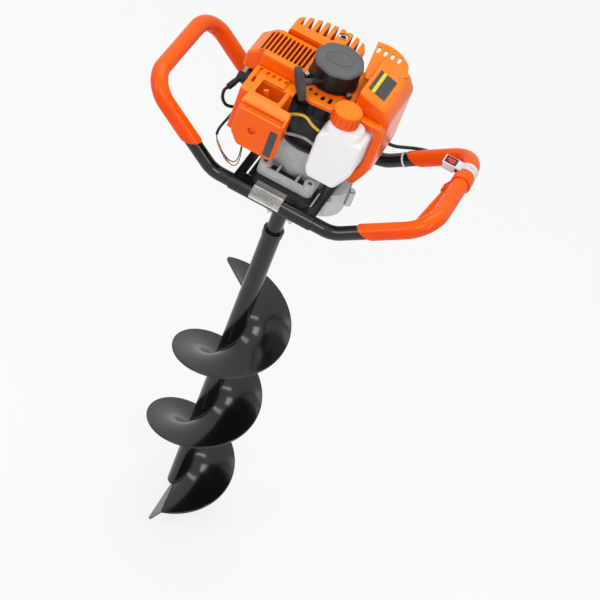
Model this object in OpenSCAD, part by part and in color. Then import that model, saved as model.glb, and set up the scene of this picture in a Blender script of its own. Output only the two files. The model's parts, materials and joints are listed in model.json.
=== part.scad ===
// Hand-held petrol earth auger: a two-stroke power head on a tube frame with two
// handle loops, a two-stage gearbox and a pinned drilling bit.
// Millimetres. The pilot tip is at the origin and Z runs up the bit. The throttle
// handle is on +X and the air filter faces -Y.

/* [Bit] */
// Outer diameter of the flight
flight_d = 200; // [160:5:200]
// Rise of the flight in one turn
flight_pitch = 200; // [190:5:210]
// Thickness of the flight's sheet, measured along the bit
flight_t = 5; // [4:0.5:6]
// Height of the flight's lower end above the pilot tip
flight_foot = 45; // [42:1:50]
// Turning angle of the flight from its lower to its upper end
flight_turn = 942; // [900:2:960]
// Outer diameter of the bit's main tube
bit_tube_d = 35; // [33:0.5:36]
// Length of the main tube
bit_tube_len = 708; // [680:1:740]
// Length of the pilot drill below the tube
pilot_len = 39; // [36:1:42]
// Outer diameter of the bit's socket
socket_d = 28; // [26:0.5:29]

/* [Frame] */
// Outer diameter of the frame tube
tube_d = 25; // [24:0.5:25]
// Wall of the frame tube
tube_wall = 2; // [1.5:0.5:3]
// Thickness of the handle sleeves
grip_t = 2.5; // [2:0.25:3]
// Distance from the bit's axis to each handle bar
handle_reach = 263; // [255:1:275]
// Distance from the bit's axis to the front and rear frame tubes
frame_half = 114; // [112:1:118]
// Sheet thickness of the frame tray
tray_t = 3; // [2.5:0.5:3]

/* [Covers] */
// Wall of the moulded covers
wall = 2.5; // [2:0.25:3]
// Height of the flat cover tops over the frame tubes
cover_top = 200; // [198:1:202]
// Number of slots in the cylinder cover's grille
grille_slots = 11; // [9:1:12]

/* [Motion] */
// Angle of the idle throttle lever from the handle bar
lever_rest = 20; // [16:1:22]
// Tilt of the starter's T-bar
tee_tilt = 45; // [30:5:60]

/* [Hidden] */
$fn = 48;
eps = 0.01;
run = 0.05;                 // radial clearance of a running or sliding fit

orange = [0.95, 0.36, 0.08];
black = [0.06, 0.06, 0.07];
alloy = [0.74, 0.75, 0.76];
steel = [0.55, 0.56, 0.58];

// Heights along the bit
socket_len = 61;
shaft_gap = 35;
case_drop = 62;
tube_foot = pilot_len;
socket_foot = tube_foot + bit_tube_len;
socket_top = socket_foot + socket_len;
pin_z = socket_top - 24;
head_z = socket_top + shaft_gap + case_drop;
shaft_r = 10;
flight_start = -82;

// Tube frame
tube_r = tube_d / 2;
grip_r = tube_r + grip_t;
straight_half = 115;
foot_bend = 48;
loop_bend = 48;
handle_rise = 0.75 * (handle_reach - straight_half);    // the legs rise three in four
grip_start = 65;            // bare length of each leg under its sleeve
tray_x = 78;
tray_bottom = tube_r + run;
tray_top = tray_bottom + tray_t;

// Gear train: nine and eleven tooth pinions drive fifty-five and fifty-three tooth wheels
gear_module = 1.5;
pressure = 25;
teeth_in = 9;
teeth_idler = 55;
teeth_mid = 11;
teeth_out = 53;
centres = gear_module * (teeth_in + teeth_idler) / 2;
split_z = -14;
case_r = 50;
lug_spots = concat(
    [for (a = [120, 180, 240]) [54 * cos(a), 54 * sin(a)]],
    [for (a = [-60, 0, 60]) [centres + 54 * cos(a), 54 * sin(a)]]
);
boss_spots = [for (x = [-42, 42], y = [-74, 74]) [x, y]];

// Engine heights over the frame tubes
clutch_top = 78;
crank_z = 118;
crank_throw = 16;
journal_r = 7.5;
bore_r = 20;
fin_r = 38;
fly_r = 48;
plug_z = crank_z + 14;
plug_y = -14;
port_x = -72;
choke_z = 160;
filter_x = [-121, -44];
lid_x = [-107, -23];
filter_top = 178;
filter_screw = [-72, 128];

// Upright exhaust outlet through the guard's top
outlet = [-27, 104];
guard_top = 209;

// Recoil starter
starter_z = 203;
starter_r = 41;
starter_lugs = [90, 216, 326];
lug_r = starter_r + 6;
pull = [-0.6, -0.8];
pull_turn = atan2(pull.y, pull.x);
rope_z = starter_z + 16;
rope_side = 15;             // the rope leaves beside the axis
guide_end = 58;

// Throttle lever on the underside of the right handle bar
lever_roll = -60;
lever_pivot = [-30, 30];
lever_len = 104;
switch_y = 55;
rocker_pivot = [-33, -1, 7];

// Helpers

function unit(v) = v / norm(v);

function arc(c, r, a0, a1, n = 8) =
    [for (i = [0:n]) c + r * [cos(a0 + (a1 - a0) * i / n), sin(a0 + (a1 - a0) * i / n)]];

// Outline of a rectangle with rounded corners
function rounded(x0, y0, x1, y1, r) = concat(
    arc([x1 - r, y0 + r], r, -90, 0, 6),
    arc([x1 - r, y1 - r], r, 0, 90, 6),
    arc([x0 + r, y1 - r], r, 90, 180, 6),
    arc([x0 + r, y0 + r], r, 180, 270, 6)
);

// Outline round the two gear axes
function case_outline(r) = concat(arc([0, 0], r, 90, 270, 18), arc([centres, 0], r, -90, 90, 18));

function involute(a) = tan(a) * 180 / PI - a;

// Half the angle of a tooth at radius r
function tooth_half(n, r) =
    let (pitch_r = gear_module * n / 2, base_r = pitch_r * cos(pressure), slack = 0.06)
    90 / n - slack / pitch_r * 180 / PI + involute(pressure) - involute(acos(min(1, base_r / r)));

// Outline of a spur gear with one tooth on the X axis
function gear_outline(n) =
    let (
        pitch_r = gear_module * n / 2,
        tip_r = pitch_r + 0.8 * gear_module,
        root_r = pitch_r - gear_module,
        low_r = max(root_r, pitch_r * cos(pressure)),
        radii = [low_r, (2 * low_r + tip_r) / 3, (low_r + 2 * tip_r) / 3, tip_r],
        low = tooth_half(n, low_r)
    )
    [for (k = [0:n - 1])
        let (mid = 360 * k / n)
        for (p = concat(
            [[root_r, -low - 2 / n]],
            [for (r = radii) [r, -tooth_half(n, r)]],
            [for (i = [3:-1:0]) [radii[i], tooth_half(n, radii[i])]],
            [[root_r, low + 2 / n]]
        ))
            p[0] * [cos(mid + p[1]), sin(mid + p[1])]];

// Round bar between two points
module bar(a, b, r) {
    v = b - a;
    translate(a)
        rotate([0, acos(v.z / norm(v)), atan2(v.y, v.x)])
            cylinder(h = norm(v), r = r);
}

// Bend of a round bar at corner c, from direction u to direction v
module bend(c, u, v, bend_r, r) {
    turn = acos(u * v);
    centre = c + unit(v - u) * bend_r / cos(turn / 2);
    first = unit(c - u * bend_r * tan(turn / 2) - centre);
    side = cross(first, u);
    multmatrix([
        [first.x, u.x, side.x, centre.x],
        [first.y, u.y, side.y, centre.y],
        [first.z, u.z, side.z, centre.z],
        [0, 0, 0, 1]
    ])
        rotate_extrude(angle = turn)
            translate([bend_r, 0])
                circle(r);
}

// Round bar through points, bent at each inner point
module bent_bar(points, bends, r) {
    last = len(points) - 1;
    ways = [for (i = [0:last - 1]) unit(points[i + 1] - points[i])];
    cut = [for (i = [0:last])
        i == 0 || i == last ? 0 : bends[i] * tan(acos(ways[i - 1] * ways[i]) / 2)];
    for (i = [0:last - 1])
        bar(points[i] + ways[i] * cut[i], points[i + 1] - ways[i] * cut[i + 1], r);
    for (i = [1:last - 1])
        bend(points[i], ways[i - 1], ways[i], bends[i], r);
}

// Smooth curve through hand-set points
function curve_point(p, i, t) =
    let (
        last = len(p) - 1,
        a = p[max(i - 1, 0)],
        b = p[i],
        c = p[i + 1],
        d = p[min(i + 2, last)]
    )
    0.5 * (2 * b + (c - a) * t + (2 * a - 5 * b + 4 * c - d) * t * t
        + (3 * b - a - 3 * c + d) * t * t * t);

function curve(p, steps) = concat(
    [for (i = [0:len(p) - 2], k = [0:steps - 1]) curve_point(p, i, k / steps)],
    [p[len(p) - 1]]
);

// Ring frames carried along a curve without twist
function carry(ways, i, side) =
    i == len(ways) ? [] :
    let (s = unit(side - (side * ways[i]) * ways[i]))
    concat([s], carry(ways, i + 1, s));

// Flexible tube of radius r along a list of points
module cord(path, r, sides = 8) {
    last = len(path) - 1;
    ways = [for (i = [0:last]) unit(path[min(i + 1, last)] - path[max(i - 1, 0)])];
    side = carry(ways, 0, abs(ways[0].z) < 0.9 ? [0, 0, 1] : [1, 0, 0]);
    rings = [for (i = [0:last], k = [0:sides - 1])
        let (a = 360 * k / sides)
        path[i] + r * (cos(a) * side[i] + sin(a) * cross(ways[i], side[i]))];
    skin = [for (i = [0:last - 1], k = [0:sides - 1], half = [0, 1])
        let (a = i * sides + k, b = i * sides + (k + 1) % sides)
        half == 0 ? [a, b + sides, b] : [a, a + sides, b + sides]];
    polyhedron(concat(rings, [path[0], path[last]]), concat(
        skin,
        [for (k = [0:sides - 1]) [k, (k + 1) % sides, (last + 1) * sides]],
        [for (k = [0:sides - 1])
            [last * sides + (k + 1) % sides, last * sides + k, (last + 1) * sides + 1]]
    ));
}

// Extrude an outline drawn in Y and Z along X
module along_x(x0, x1) {
    translate([x0, 0, 0])
        rotate([90, 0, 90])
            linear_extrude(x1 - x0)
                children();
}

// Extrude an outline drawn in X and Z along Y
module along_y(y0, y1) {
    translate([0, y1, 0])
        rotate([90, 0, 0])
            linear_extrude(y1 - y0)
                children();
}

// Round bar on X, Y or Z
module bar_x(x0, x1, r, y = 0, z = 0) {
    translate([x0, y, z])
        rotate([0, 90, 0])
            cylinder(h = x1 - x0, r = r);
}

module bar_y(y0, y1, r, x = 0, z = 0) {
    translate([x, y1, z])
        rotate([90, 0, 0])
            cylinder(h = y1 - y0, r = r);
}

module bar_z(z0, z1, r, x = 0, y = 0) {
    translate([x, y, z0])
        cylinder(h = z1 - z0, r = r);
}

module box(a, b) {
    translate(a)
        cube(b - a);
}

module ring_z(z0, z1, r_in, r_out, x = 0, y = 0) {
    difference() {
        bar_z(z0, z1, r_out, x, y);
        bar_z(z0 - 1, z1 + 1, r_in, x, y);
    }
}

module hex_z(z0, z1, r, x, y) {
    translate([x, y, z0])
        cylinder(h = z1 - z0, r = r, $fn = 6);
}

module gear(n, z0, z1, x = 0) {
    translate([x, 0, z0])
        linear_extrude(z1 - z0)
            polygon(gear_outline(n));
}

module head() {
    translate([0, 0, head_z])
        children();
}

// Drilling bit

module auger_tube() {
    color(black)
        difference() {
            union() {
                bar_z(tube_foot, socket_foot, bit_tube_d / 2);
                bar_z(socket_foot - 12, socket_foot, bit_tube_d / 2 + 1.5);
                bar_z(socket_foot - eps, socket_top, socket_d / 2);
            }
            bar_z(tube_foot - 1, socket_foot - 40, bit_tube_d / 2 - 3);
            bar_z(socket_foot - 26, socket_top + 1, shaft_r + run);
            bar_x(-40, 40, 4 + run, 0, pin_z);
        }
}

// Helical flight as a strip of short steps, welded 1 mm into the tube, its upper corner cut off
module auger_flight() {
    steps = 96;
    inner = bit_tube_d / 2 - 1;
    outer = flight_d / 2;
    rings = [for (i = [0:steps], c = [[inner, 0], [outer, 0], [outer, 1], [inner, 1]])
        let (
            turn = flight_turn * i / steps,
            a = turn + flight_start,
            r = i == steps ? min(c[0], outer - 8) : c[0]
        )
        [r * cos(a), r * sin(a), flight_foot + flight_pitch * turn / 360 + flight_t * c[1]]];
    skin = [for (i = [0:steps - 1], k = [0:3], half = [0, 1])
        let (a = 4 * i + k, b = 4 * i + (k + 1) % 4)
        half == 0 ? [a, b, b + 4] : [a, b + 4, a + 4]];
    top = 4 * steps;
    color(black)
        polyhedron(rings, concat(
            skin,
            [[0, 3, 2], [0, 2, 1]],
            [[top, top + 1, top + 2], [top, top + 2, top + 3]]
        ));
}

// Pointed cutter under the flight's end and its twin across the tube, both welded on
module cutter_blades() {
    reach = flight_d / 2 - 3;
    weld_r = bit_tube_d / 2 - 1;
    color([0.16, 0.16, 0.17])
        for (side = [0, 180])
            rotate([0, 0, flight_start + side])
                translate([0, 0, flight_foot + 1])
                    rotate([-26, 0, 0])
                        along_y(-2, 2)
                            polygon([[weld_r, 0], [weld_r, -12], [reach - 4, -42], [reach, -36], [reach, 0]]);
}

module pilot_drill() {
    color(steel)
        union() {
            bar_z(tube_foot - 2, tube_foot + 26, bit_tube_d / 2 - 3 - run);
            translate([0, 0, 9])
                linear_extrude(tube_foot - 10, twist = -300, slices = 20, $fn = 12)
                    polygon([[7, -2], [7, 2], [2.4, 3.2], [-2, 7], [-7, 2], [-7, -2], [-2.4, -3.2], [2, -7]]);
            cylinder(h = 10, r1 = 0.4, r2 = 7, $fn = 12);
        }
}

// Drive pin and the spring clip through its end
module bit_pin() {
    clip_x = -socket_d / 2 - 7;
    color(steel) {
        difference() {
            union() {
                bar_x(-24, 21, 4, 0, pin_z);
                bar_x(21, 25, 6.5, 0, pin_z);
            }
            bar_z(pin_z - 8, pin_z + 8, 1.3, clip_x);
        }
        bar_z(pin_z - 9, pin_z + 8, 1.2, clip_x);
        translate([clip_x, 0, pin_z + 13])
            rotate([90, 0, 0])
                rotate_extrude()
                    translate([5, 0])
                        circle(1.1);
    }
}

// Tube frame

function loop_points(s) = [
    [0, -frame_half, 0],
    [s * straight_half, -frame_half, 0],
    [s * handle_reach, -frame_half, handle_rise],
    [s * handle_reach, frame_half, handle_rise],
    [s * straight_half, frame_half, 0],
    [0, frame_half, 0]
];

loop_bends = [0, foot_bend, loop_bend, loop_bend, foot_bend, 0];

// One half of the frame: a tube bent into a handle loop
module handle_tube(s) {
    p = loop_points(s);
    over = [s, 0, 0];
    color(black)
        head()
            difference() {
                bent_bar(p, loop_bends, tube_r);
                bent_bar(concat([p[0] - over], [for (i = [1:4]) p[i]], [p[5] - over]),
                    loop_bends, tube_r - tube_wall);
            }
}

// Moulded sleeve over the upper part of a loop
module grip(s) {
    p = loop_points(s);
    leg = unit(p[2] - p[1]);
    front = p[1] + leg * grip_start;
    rear = [front.x, frame_half, front.z];
    color(orange)
        head()
            difference() {
                bent_bar([front, p[2], p[3], rear], [0, loop_bend, loop_bend, 0], grip_r);
                bent_bar([front - leg, p[2], p[3], rear - leg], [0, loop_bend, loop_bend, 0],
                    tube_r + run);
            }
}

module left_handle_tube() {
    handle_tube(-1);
}

module right_handle_tube() {
    handle_tube(1);
}

module handle_grips() {
    grip(-1);
    grip(1);
}

// Pressed tray that is rolled over the front and rear tubes
module frame_tray() {
    color(black)
        head()
            difference() {
                union() {
                    box([-tray_x, -frame_half, tray_bottom], [tray_x, frame_half, tray_top]);
                    for (s = [0, 180])
                        rotate([0, 0, s])
                            translate([-tray_x, -frame_half, 0])
                                rotate([90, 0, 90])
                                    rotate([0, 0, 90])
                                        rotate_extrude(angle = 118)
                                            translate([tray_bottom, 0])
                                                square([tray_t, 2 * tray_x]);
                }
                translate([0, 0, tray_bottom - 1])
                    linear_extrude(tray_t + 2)
                        polygon(rounded(-58, -50, 58, 50, 10));
                for (x = [-1, 1], y = [-1, 1]) {
                    box([x > 0 ? 59 : -62, y > 0 ? 40 : -98, 0], [x > 0 ? 62 : -59, y > 0 ? 98 : -40, 30]);
                    box([x > 0 ? 50 : -61, y > 0 ? 95 : -98, 0], [x > 0 ? 61 : -50, y > 0 ? 98 : -95, 30]);
                }
                for (p = boss_spots)
                    bar_z(0, 30, 4.3, p.x, p.y);
            }
}

// Frame bolts, gear case bolts, filter screw and starter screws
module fasteners() {
    color(steel)
        head() {
            for (p = boss_spots) {
                hex_z(tray_bottom - 6, tray_bottom, 7, p.x, p.y);
                bar_z(tray_bottom, 36, 4, p.x, p.y);
            }
            for (p = lug_spots) {
                hex_z(4, 8, 4.6, p.x, p.y);
                bar_z(-26, 4, 2.5, p.x, p.y);
            }
            bar_y(-123, -119, 4.5, filter_screw.x, filter_screw.y);
            bar_y(-119.5, -99, 2.5, filter_screw.x, filter_screw.y);
            for (a = starter_lugs)
                bar_z(starter_z + 4, starter_z + 7, 4, lug_r * cos(a), lug_r * sin(a));
        }
}

// Gearbox

module clutch_housing() {
    color(alloy)
        head()
            difference() {
                union() {
                    translate([0, 0, tray_top])
                        linear_extrude(6)
                            polygon(rounded(-52, -84, 52, 84, 10));
                    bar_z(tray_top, clutch_top, 57);
                    for (p = boss_spots)
                        bar_z(tray_top, 40, 10, p.x, p.y);
                    for (s = [-1, 1]) {
                        box([-42, s > 0 ? 79 : -83, tray_top], [42, s > 0 ? 83 : -79, 33]);
                        for (x = [-18, 18])
                            box([x - 2, s > 0 ? 50 : -80, tray_top], [x + 2, s > 0 ? 80 : -50, 31]);
                        for (y = [-66, 66])
                            box([s > 0 ? 40 : -44, y - 12, tray_top], [s > 0 ? 44 : -40, y + 12, 31]);
                    }
                }
                bar_z(26, clutch_top + 1, 48);
                bar_z(0, 30, 9);
                for (p = boss_spots)
                    bar_z(0, 50, 4 + run, p.x, p.y);
                for (a = [35, 145, 215, 325])
                    rotate([0, 0, a])
                        box([40, -9, 44], [70, 9, 64]);
            }
}

module gear_case_upper() {
    color(alloy)
        head()
            difference() {
                union() {
                    translate([0, 0, split_z])
                        linear_extrude(8 - split_z)
                            polygon(case_outline(case_r));
                    bar_z(7, tray_top, 44);
                    for (p = lug_spots)
                        bar_z(split_z, 4, 7, p.x, p.y);
                }
                bar_z(split_z - 1, -1, 44.5, centres);
                bar_z(split_z - 1, -1, 10);
                bar_z(4, 30, 14 + run);
                bar_z(-5, 10, 8);
                bar_z(-5, 5, 9 + run, centres);
                for (p = lug_spots) {
                    bar_z(-40, 4.5, 2.5 + run, p.x, p.y);
                    hex_z(4, 20, 6, p.x, p.y);
                }
            }
}

module gear_case_lower() {
    color(alloy)
        head()
            difference() {
                union() {
                    translate([0, 0, -42])
                        linear_extrude(split_z + 42)
                            polygon(case_outline(case_r));
                    bar_z(-case_drop, -41, 27);
                    bar_z(-52, -41, 14, centres);
                    for (p = lug_spots)
                        bar_z(-26, split_z, 7, p.x, p.y);
                }
                bar_z(-36, split_z + 1, 43);
                bar_z(-39, split_z + 1, 12, centres);
                bar_z(-case_drop - 1, -35, 21 + run);
                bar_z(-49, -38, 9 + run, centres);
                for (p = lug_spots)
                    bar_z(-40, 0, 2.5 + run, p.x, p.y);
            }
}

// Ball bearings and shaft seals, drawn as plain rings
module bearings_and_seals() {
    color(steel)
        head() {
            ring_z(-47, -37, shaft_r + run, 21);
            ring_z(-57.5, -47.5, shaft_r + run, 21);
            ring_z(-case_drop, -58, shaft_r + run, 21);
            ring_z(-47, -39, 4 + run, 9, centres);
            ring_z(-0.8, 5, 4 + run, 9, centres);
            ring_z(4.2, 14, 6 + run, 14);
            ring_z(84.2, 95, journal_r + run, 17.5);
            ring_z(79, 84, journal_r + run, 14);
            ring_z(141, 151.8, journal_r + run, 17.5);
        }
}

// Clutch drum on a shaft that ends in the first pinion
module clutch_drum() {
    color(steel)
        head()
            difference() {
                union() {
                    gear(teeth_in, -13, -1);
                    bar_z(-1 - eps, 34, 6);
                    bar_z(33, 66, 46);
                }
                bar_z(37, 70, 44);
            }
}

module idler_gear() {
    color(steel)
        head()
            difference() {
                gear(teeth_idler, -12, -2, centres);
                translate([centres, 0, -20])
                    cylinder(h = 30, r = 6.1, $fn = 8);
            }
}

module idler_pinion() {
    color(steel)
        head()
            union() {
                gear(teeth_mid, -36, -16, centres);
                bar_z(-47, 5, 4, centres);
                translate([centres, 0, -16])
                    cylinder(h = 14, r = 6, $fn = 8);
            }
}

module output_gear() {
    color(steel)
        head()
            difference() {
                gear(teeth_out, -34, -18);
                translate([0, 0, -40])
                    cylinder(h = 30, r = 12.1, $fn = 8);
            }
}

module output_shaft() {
    color(steel)
        difference() {
            union() {
                bar_z(socket_foot - 22, head_z - 18, shaft_r);
                translate([0, 0, head_z - 35])
                    cylinder(h = 19, r = 12, $fn = 8);
            }
            bar_x(-40, 40, 4 + run, 0, pin_z);
        }
}

// Engine block

module crankcase_half(z0, z1, block0, block1) {
    bar_z(z0, z1, 44);
    box([-48, -28, block0], [-20, 28, block1]);
}

module crankcase_lower() {
    color([0.36, 0.37, 0.39])
        head()
            difference() {
                union() {
                    crankcase_half(clutch_top, crank_z, 88, crank_z);
                    bar_z(clutch_top, 83, 54);
                }
                bar_z(95.2, crank_z + 1, 36);
                bar_z(84, 100, 17.5 + run);
                bar_z(60, 90, 14 + run);
                bar_x(-60, -20, 22, 0, crank_z);
            }
}

module crankcase_upper() {
    color([0.36, 0.37, 0.39])
        head()
            difference() {
                crankcase_half(crank_z, 156, crank_z, 148);
                bar_z(crank_z - 1, 140.8, 36);
                bar_z(140, 152, 17.5 + run);
                bar_z(150, 160, 10);
                bar_x(-60, -20, 22, 0, crank_z);
            }
}

module engine_cylinder() {
    color(alloy)
        head()
            difference() {
                union() {
                    bar_x(-106, -48, 26, 0, crank_z);
                    box([-52, -28, crank_z - 28], [-48, 28, crank_z + 28]);
                    for (i = [0:7])
                        bar_x(-108 + 7 * i, -105.5 + 7 * i, fin_r, 0, crank_z);
                    box([port_x - 15, -44, crank_z - 15], [port_x + 15, 44, crank_z + 15]);
                    bar_x(-114, -105, 13, plug_y, plug_z);
                }
                bar_x(-100, -40, bore_r + run, 0, crank_z);
                bar_x(-120, -99, 7 + run, plug_y, plug_z);
                bar_y(-50, 50, 9, port_x, crank_z);
            }
}

module piston() {
    color(alloy)
        head()
            difference() {
                bar_x(-95, -61, bore_r - run, 0, crank_z);
                bar_x(-88, -60, 15, 0, crank_z);
                bar_z(crank_z - 30, crank_z + 30, 5 + run, -74);
            }
}

// Rod with its piston pin. The big end is a saddle that stays clear of the crank pin
module connecting_rod() {
    color(steel)
        head()
            difference() {
                union() {
                    bar_z(crank_z - 17, crank_z + 17, 5, -74);
                    bar_z(crank_z - 5, crank_z + 5, 8, -74);
                    box([-70, -5, crank_z - 4], [-22.5, 5, crank_z + 4]);
                    box([-30, -9, crank_z - 5], [-22.5, 9, crank_z + 5]);
                }
                bar_z(crank_z - 10, crank_z + 10, crank_throw + 6.5);
            }
}

module crankshaft() {
    color(steel)
        head()
            union() {
                bar_z(42, 80, 6);
                bar_z(66, 101, journal_r);
                bar_z(100, 112, 33);
                bar_z(111, 125, 5.5, -crank_throw);
                bar_z(124, 136, 33);
                bar_z(135, 156, journal_r);
                bar_z(155, 190, 6);
            }
}

module flywheel() {
    color(alloy)
        head()
            difference() {
                union() {
                    bar_z(160, 172, fly_r);
                    bar_z(158, 184, 15);
                    for (i = [0:13])
                        rotate([0, 0, 360 * i / 14])
                            box([14, -1.5, 170], [fly_r - 2, 1.5, 185]);
                    hex_z(183, 189, 12, 0, 0);
                }
                bar_z(150, 200, 6 + run);
            }
}

module ignition_coil() {
    color(black)
        head()
            union() {
                box([-86, -16, crank_z + fin_r + 0.2], [-60, 16, 180]);
                box([-62, -12, 161], [-fly_r - 0.6, -6, 171]);
                box([-62, 6, 161], [-fly_r - 0.6, 12, 171]);
            }
}

// Centrifugal clutch

module clutch_carrier() {
    color(steel)
        head()
            difference() {
                union() {
                    bar_z(43, 65, 11);
                    bar_z(61, 64, 32);
                    for (s = [0, 180])
                        rotate([0, 0, s])
                            bar_z(44, 62, 3, 14, -24);
                }
                bar_z(30, 80, 6 + run);
            }
}

// Weighted shoe, pivoted at its trailing end
module clutch_shoe(s) {
    color([0.35, 0.27, 0.2])
        head()
            rotate([0, 0, s])
                difference() {
                    translate([0, 0, 45])
                        linear_extrude(15)
                            polygon(concat(arc([0, 0], 41, -78, 78, 24), arc([0, 0], 15, 78, -78, 16)));
                    bar_z(40, 70, 3 + run, 14, -24);
                }
}

module clutch_shoe_right() {
    clutch_shoe(0);
}

module clutch_shoe_left() {
    clutch_shoe(180);
}

// Ignition

module spark_plug() {
    color([0.9, 0.9, 0.88])
        head()
            union() {
                bar_x(-115, -102, 7, plug_y, plug_z);
                translate([-122, plug_y, plug_z])
                    rotate([0, 90, 0])
                        cylinder(h = 8, r = 10, $fn = 6);
                bar_x(-134, -121, 5, plug_y, plug_z);
            }
}

boot_end = [-152, plug_y - 32, plug_z - 13];

// Rubber elbow that turns the lead down and forward
module plug_boot() {
    color(black)
        head()
            difference() {
                union() {
                    bar_x(-137, -124, 15.5, plug_y, plug_z);
                    bar_x(-149, -136, 8.5, plug_y - 6, plug_z - 1);
                    bar([-143, plug_y - 9, plug_z - 1], boot_end, 5.2);
                }
                bar_x(-134.5, -120, 5 + 0.2, plug_y, plug_z);
            }
}

lead_route = [
    [-152.2, -46.4, 118.8], [-155, -53, 114.5], [-152, -57, 102], [-143, -54, 90],
    [-131, -44, 86], [-121, -33, 90], [-111.2, -24, 98]
];

module ignition_lead() {
    color(black)
        head()
            cord(curve(lead_route, 2), 2.8, 8);
}

// Intake and exhaust

module muffler() {
    color(steel)
        head()
            difference() {
                union() {
                    along_y(64, 110)
                        polygon(rounded(-84, 94, -8, 172, 8));
                    bar_y(44, 65, 11, port_x, crank_z);
                    bar_z(171, guard_top - 1, 6, outlet.x, outlet.y);
                }
                bar_z(guard_top - 21, guard_top + 1, 4.5, outlet.x, outlet.y);
                bar_y(40, 70, 8, port_x, crank_z);
            }
}

// Outside of the guard, or its inside when t is the wall
module guard_form(t) {
    front = 58 - (t > 0 ? 1 : 0);
    intersection() {
        translate([0, 0, 80])
            linear_extrude(140)
                polygon([
                    [-110 + t, front],
                    [-110 + t, 98 - t],
                    [-96 + t, 111 - t],
                    [-70, 121 - t],
                    [-44, 126 - t],
                    [-12, 125 - t],
                    [8 - t, 117 - t],
                    [18 - t, 98 - t],
                    [18 - t, front]
                ]);
        along_x(-130, 30)
            polygon([
                [50, 86 + t],
                [112 - t, 86 + t],
                [130 - t, 104 + t],
                [130 - t, guard_top - 12 - t],
                [118 - t, guard_top - t],
                [50, guard_top - t]
            ]);
    }
}

// Slotted guard, open toward the cylinder cover below its front lip
module muffler_guard() {
    color(orange)
        head()
            difference() {
                guard_form(0);
                difference() {
                    guard_form(wall);
                    box([-120, 50, 194], [30, 58 + wall, 220]);
                }
                for (i = [0:7])
                    box([-100 + 14 * i, i == 5 ? 118 : 80, 182], [-93 + 14 * i, 140, 220]);
                for (i = [0:7])
                    box([-100 + 14 * i, 95, 106], [-93 + 14 * i, 140, 166]);
                for (i = [0:5])
                    box([-115, 68, 112 + 13 * i], [-105, 92, 118 + 13 * i]);
                bar_z(190, 220, 9, outlet.x, outlet.y);
            }
}

module carburettor() {
    color([0.5, 0.5, 0.52])
        head()
            difference() {
                union() {
                    box([port_x - 14, -66, crank_z - 14], [port_x + 14, -44, crank_z + 14]);
                    box([-92, -98, 102], [-52, -65, 136]);
                    bar_z(135, 138, 11, port_x, -82);
                }
                bar_y(-110, -40, 8, port_x, crank_z);
                bar_z(100, 106, 9.6, port_x, -82);
                bar_z(127.2, 140, 3 + run, port_x, -82);
            }
}

// Throttle spindle with the arm that the cable pulls
module throttle_swivel() {
    color(steel)
        head()
            union() {
                bar_z(127.5, 142, 3, port_x, -82);
                bar_z(138.5, 142, 8, port_x, -82);
                box([port_x - 3, -82, 138.5], [port_x + 21, -77, 142]);
            }
}

module primer_bulb() {
    color([0.75, 0.2, 0.15])
        head()
            union() {
                bar_z(92.6, 101.4, 9, port_x, -82);
                translate([port_x, -82, 92.6])
                    sphere(9);
            }
}

// Box round the carburettor, open below and on the right
module air_filter_base() {
    left = filter_x[0];
    right = filter_x[1];
    color(orange)
        head()
            difference() {
                union() {
                    difference() {
                        box([left, -101, 90], [right, -56, filter_top]);
                        box([left + wall, -101 + wall, 80], [right + 10, -50, filter_top - wall]);
                    }
                    box([left, -57, filter_top - wall], [right - 16, -27, filter_top]);
                    bar_y(-99, -76, 3, -74, choke_z);
                }
                bar_y(-110, -90, 7, port_x, crank_z);
                bar_y(-110, -90, 2.5 + run, filter_screw.x, filter_screw.y);
                box([-97, -94.5, 170], [-53, -55, 190]);
                for (i = [0:3])
                    box([-100 + 11.3 * i, -42.5, 170], [-95 + 11.3 * i, -33.5, 190]);
                box([-113.5, -75, 170], [-108.5, -31, 190]);
                for (i = [0:2])
                    box([left - 5, -94, 106 + 22 * i], [left + 10, -64, 113 + 22 * i]);
            }
}

module air_filter_element() {
    color([0.25, 0.25, 0.22])
        head()
            difference() {
                box([lid_x[0] + 18, -117, 94], [lid_x[1] - 6, -102, 160]);
                bar_y(-120, -100, 3.2, filter_screw.x, filter_screw.y);
            }
}

// Outside of the filter's lid, or its inside when t is the wall
module lid_form(t) {
    intersection() {
        along_x(lid_x[0] + t, lid_x[1] - t)
            polygon([
                [-101 + (t > 0 ? 1 : 0), 86 + t],
                [-124 + t, 86 + t],
                [-128 + t, 90 + t],
                [-128 + t, 159 - t],
                [-118 + t, 172 - 2 * t],
                [-101 + (t > 0 ? 1 : 0), 178 - 2 * t]
            ]);
        along_y(-140, -95)
            polygon([
                [lid_x[0] + t, 180],
                [lid_x[0] + t, 108 + t],
                [lid_x[0] + 16 + t, 86 + t],
                [lid_x[1] - t, 86 + t],
                [lid_x[1] - t, 180]
            ]);
    }
}

// Lid of the air filter, with two ribs along its slanted upper edge
module air_filter_cover() {
    color(orange)
        head()
            difference() {
                union() {
                    lid_form(0);
                    bar_x(lid_x[0] + 6, lid_x[1] - 6, 3, -118.5, 170.5);
                    bar_x(lid_x[0] + 6, lid_x[1] - 6, 3, -126, 161.5);
                }
                lid_form(wall);
                bar_y(-140, -124, 5.5, filter_screw.x, filter_screw.y);
            }
}

module choke_lever() {
    color(black)
        head()
            translate([-74, 0, choke_z])
                rotate([0, -18, 0])
                    difference() {
                        union() {
                            bar_y(-86, -80, 7);
                            box([-4, -86, 0], [4, -80, 24]);
                        }
                        bar_y(-100, -70, 3 + run);
                    }
}

// Orange covers
// In the next functions t is the inset: 0 gives the outside, the wall's thickness gives the room inside.

// Lower edge of the cylinder cover, with the room open below
function cover_foot(t) = 108 - (t > 0 ? 10 : 0);

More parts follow.
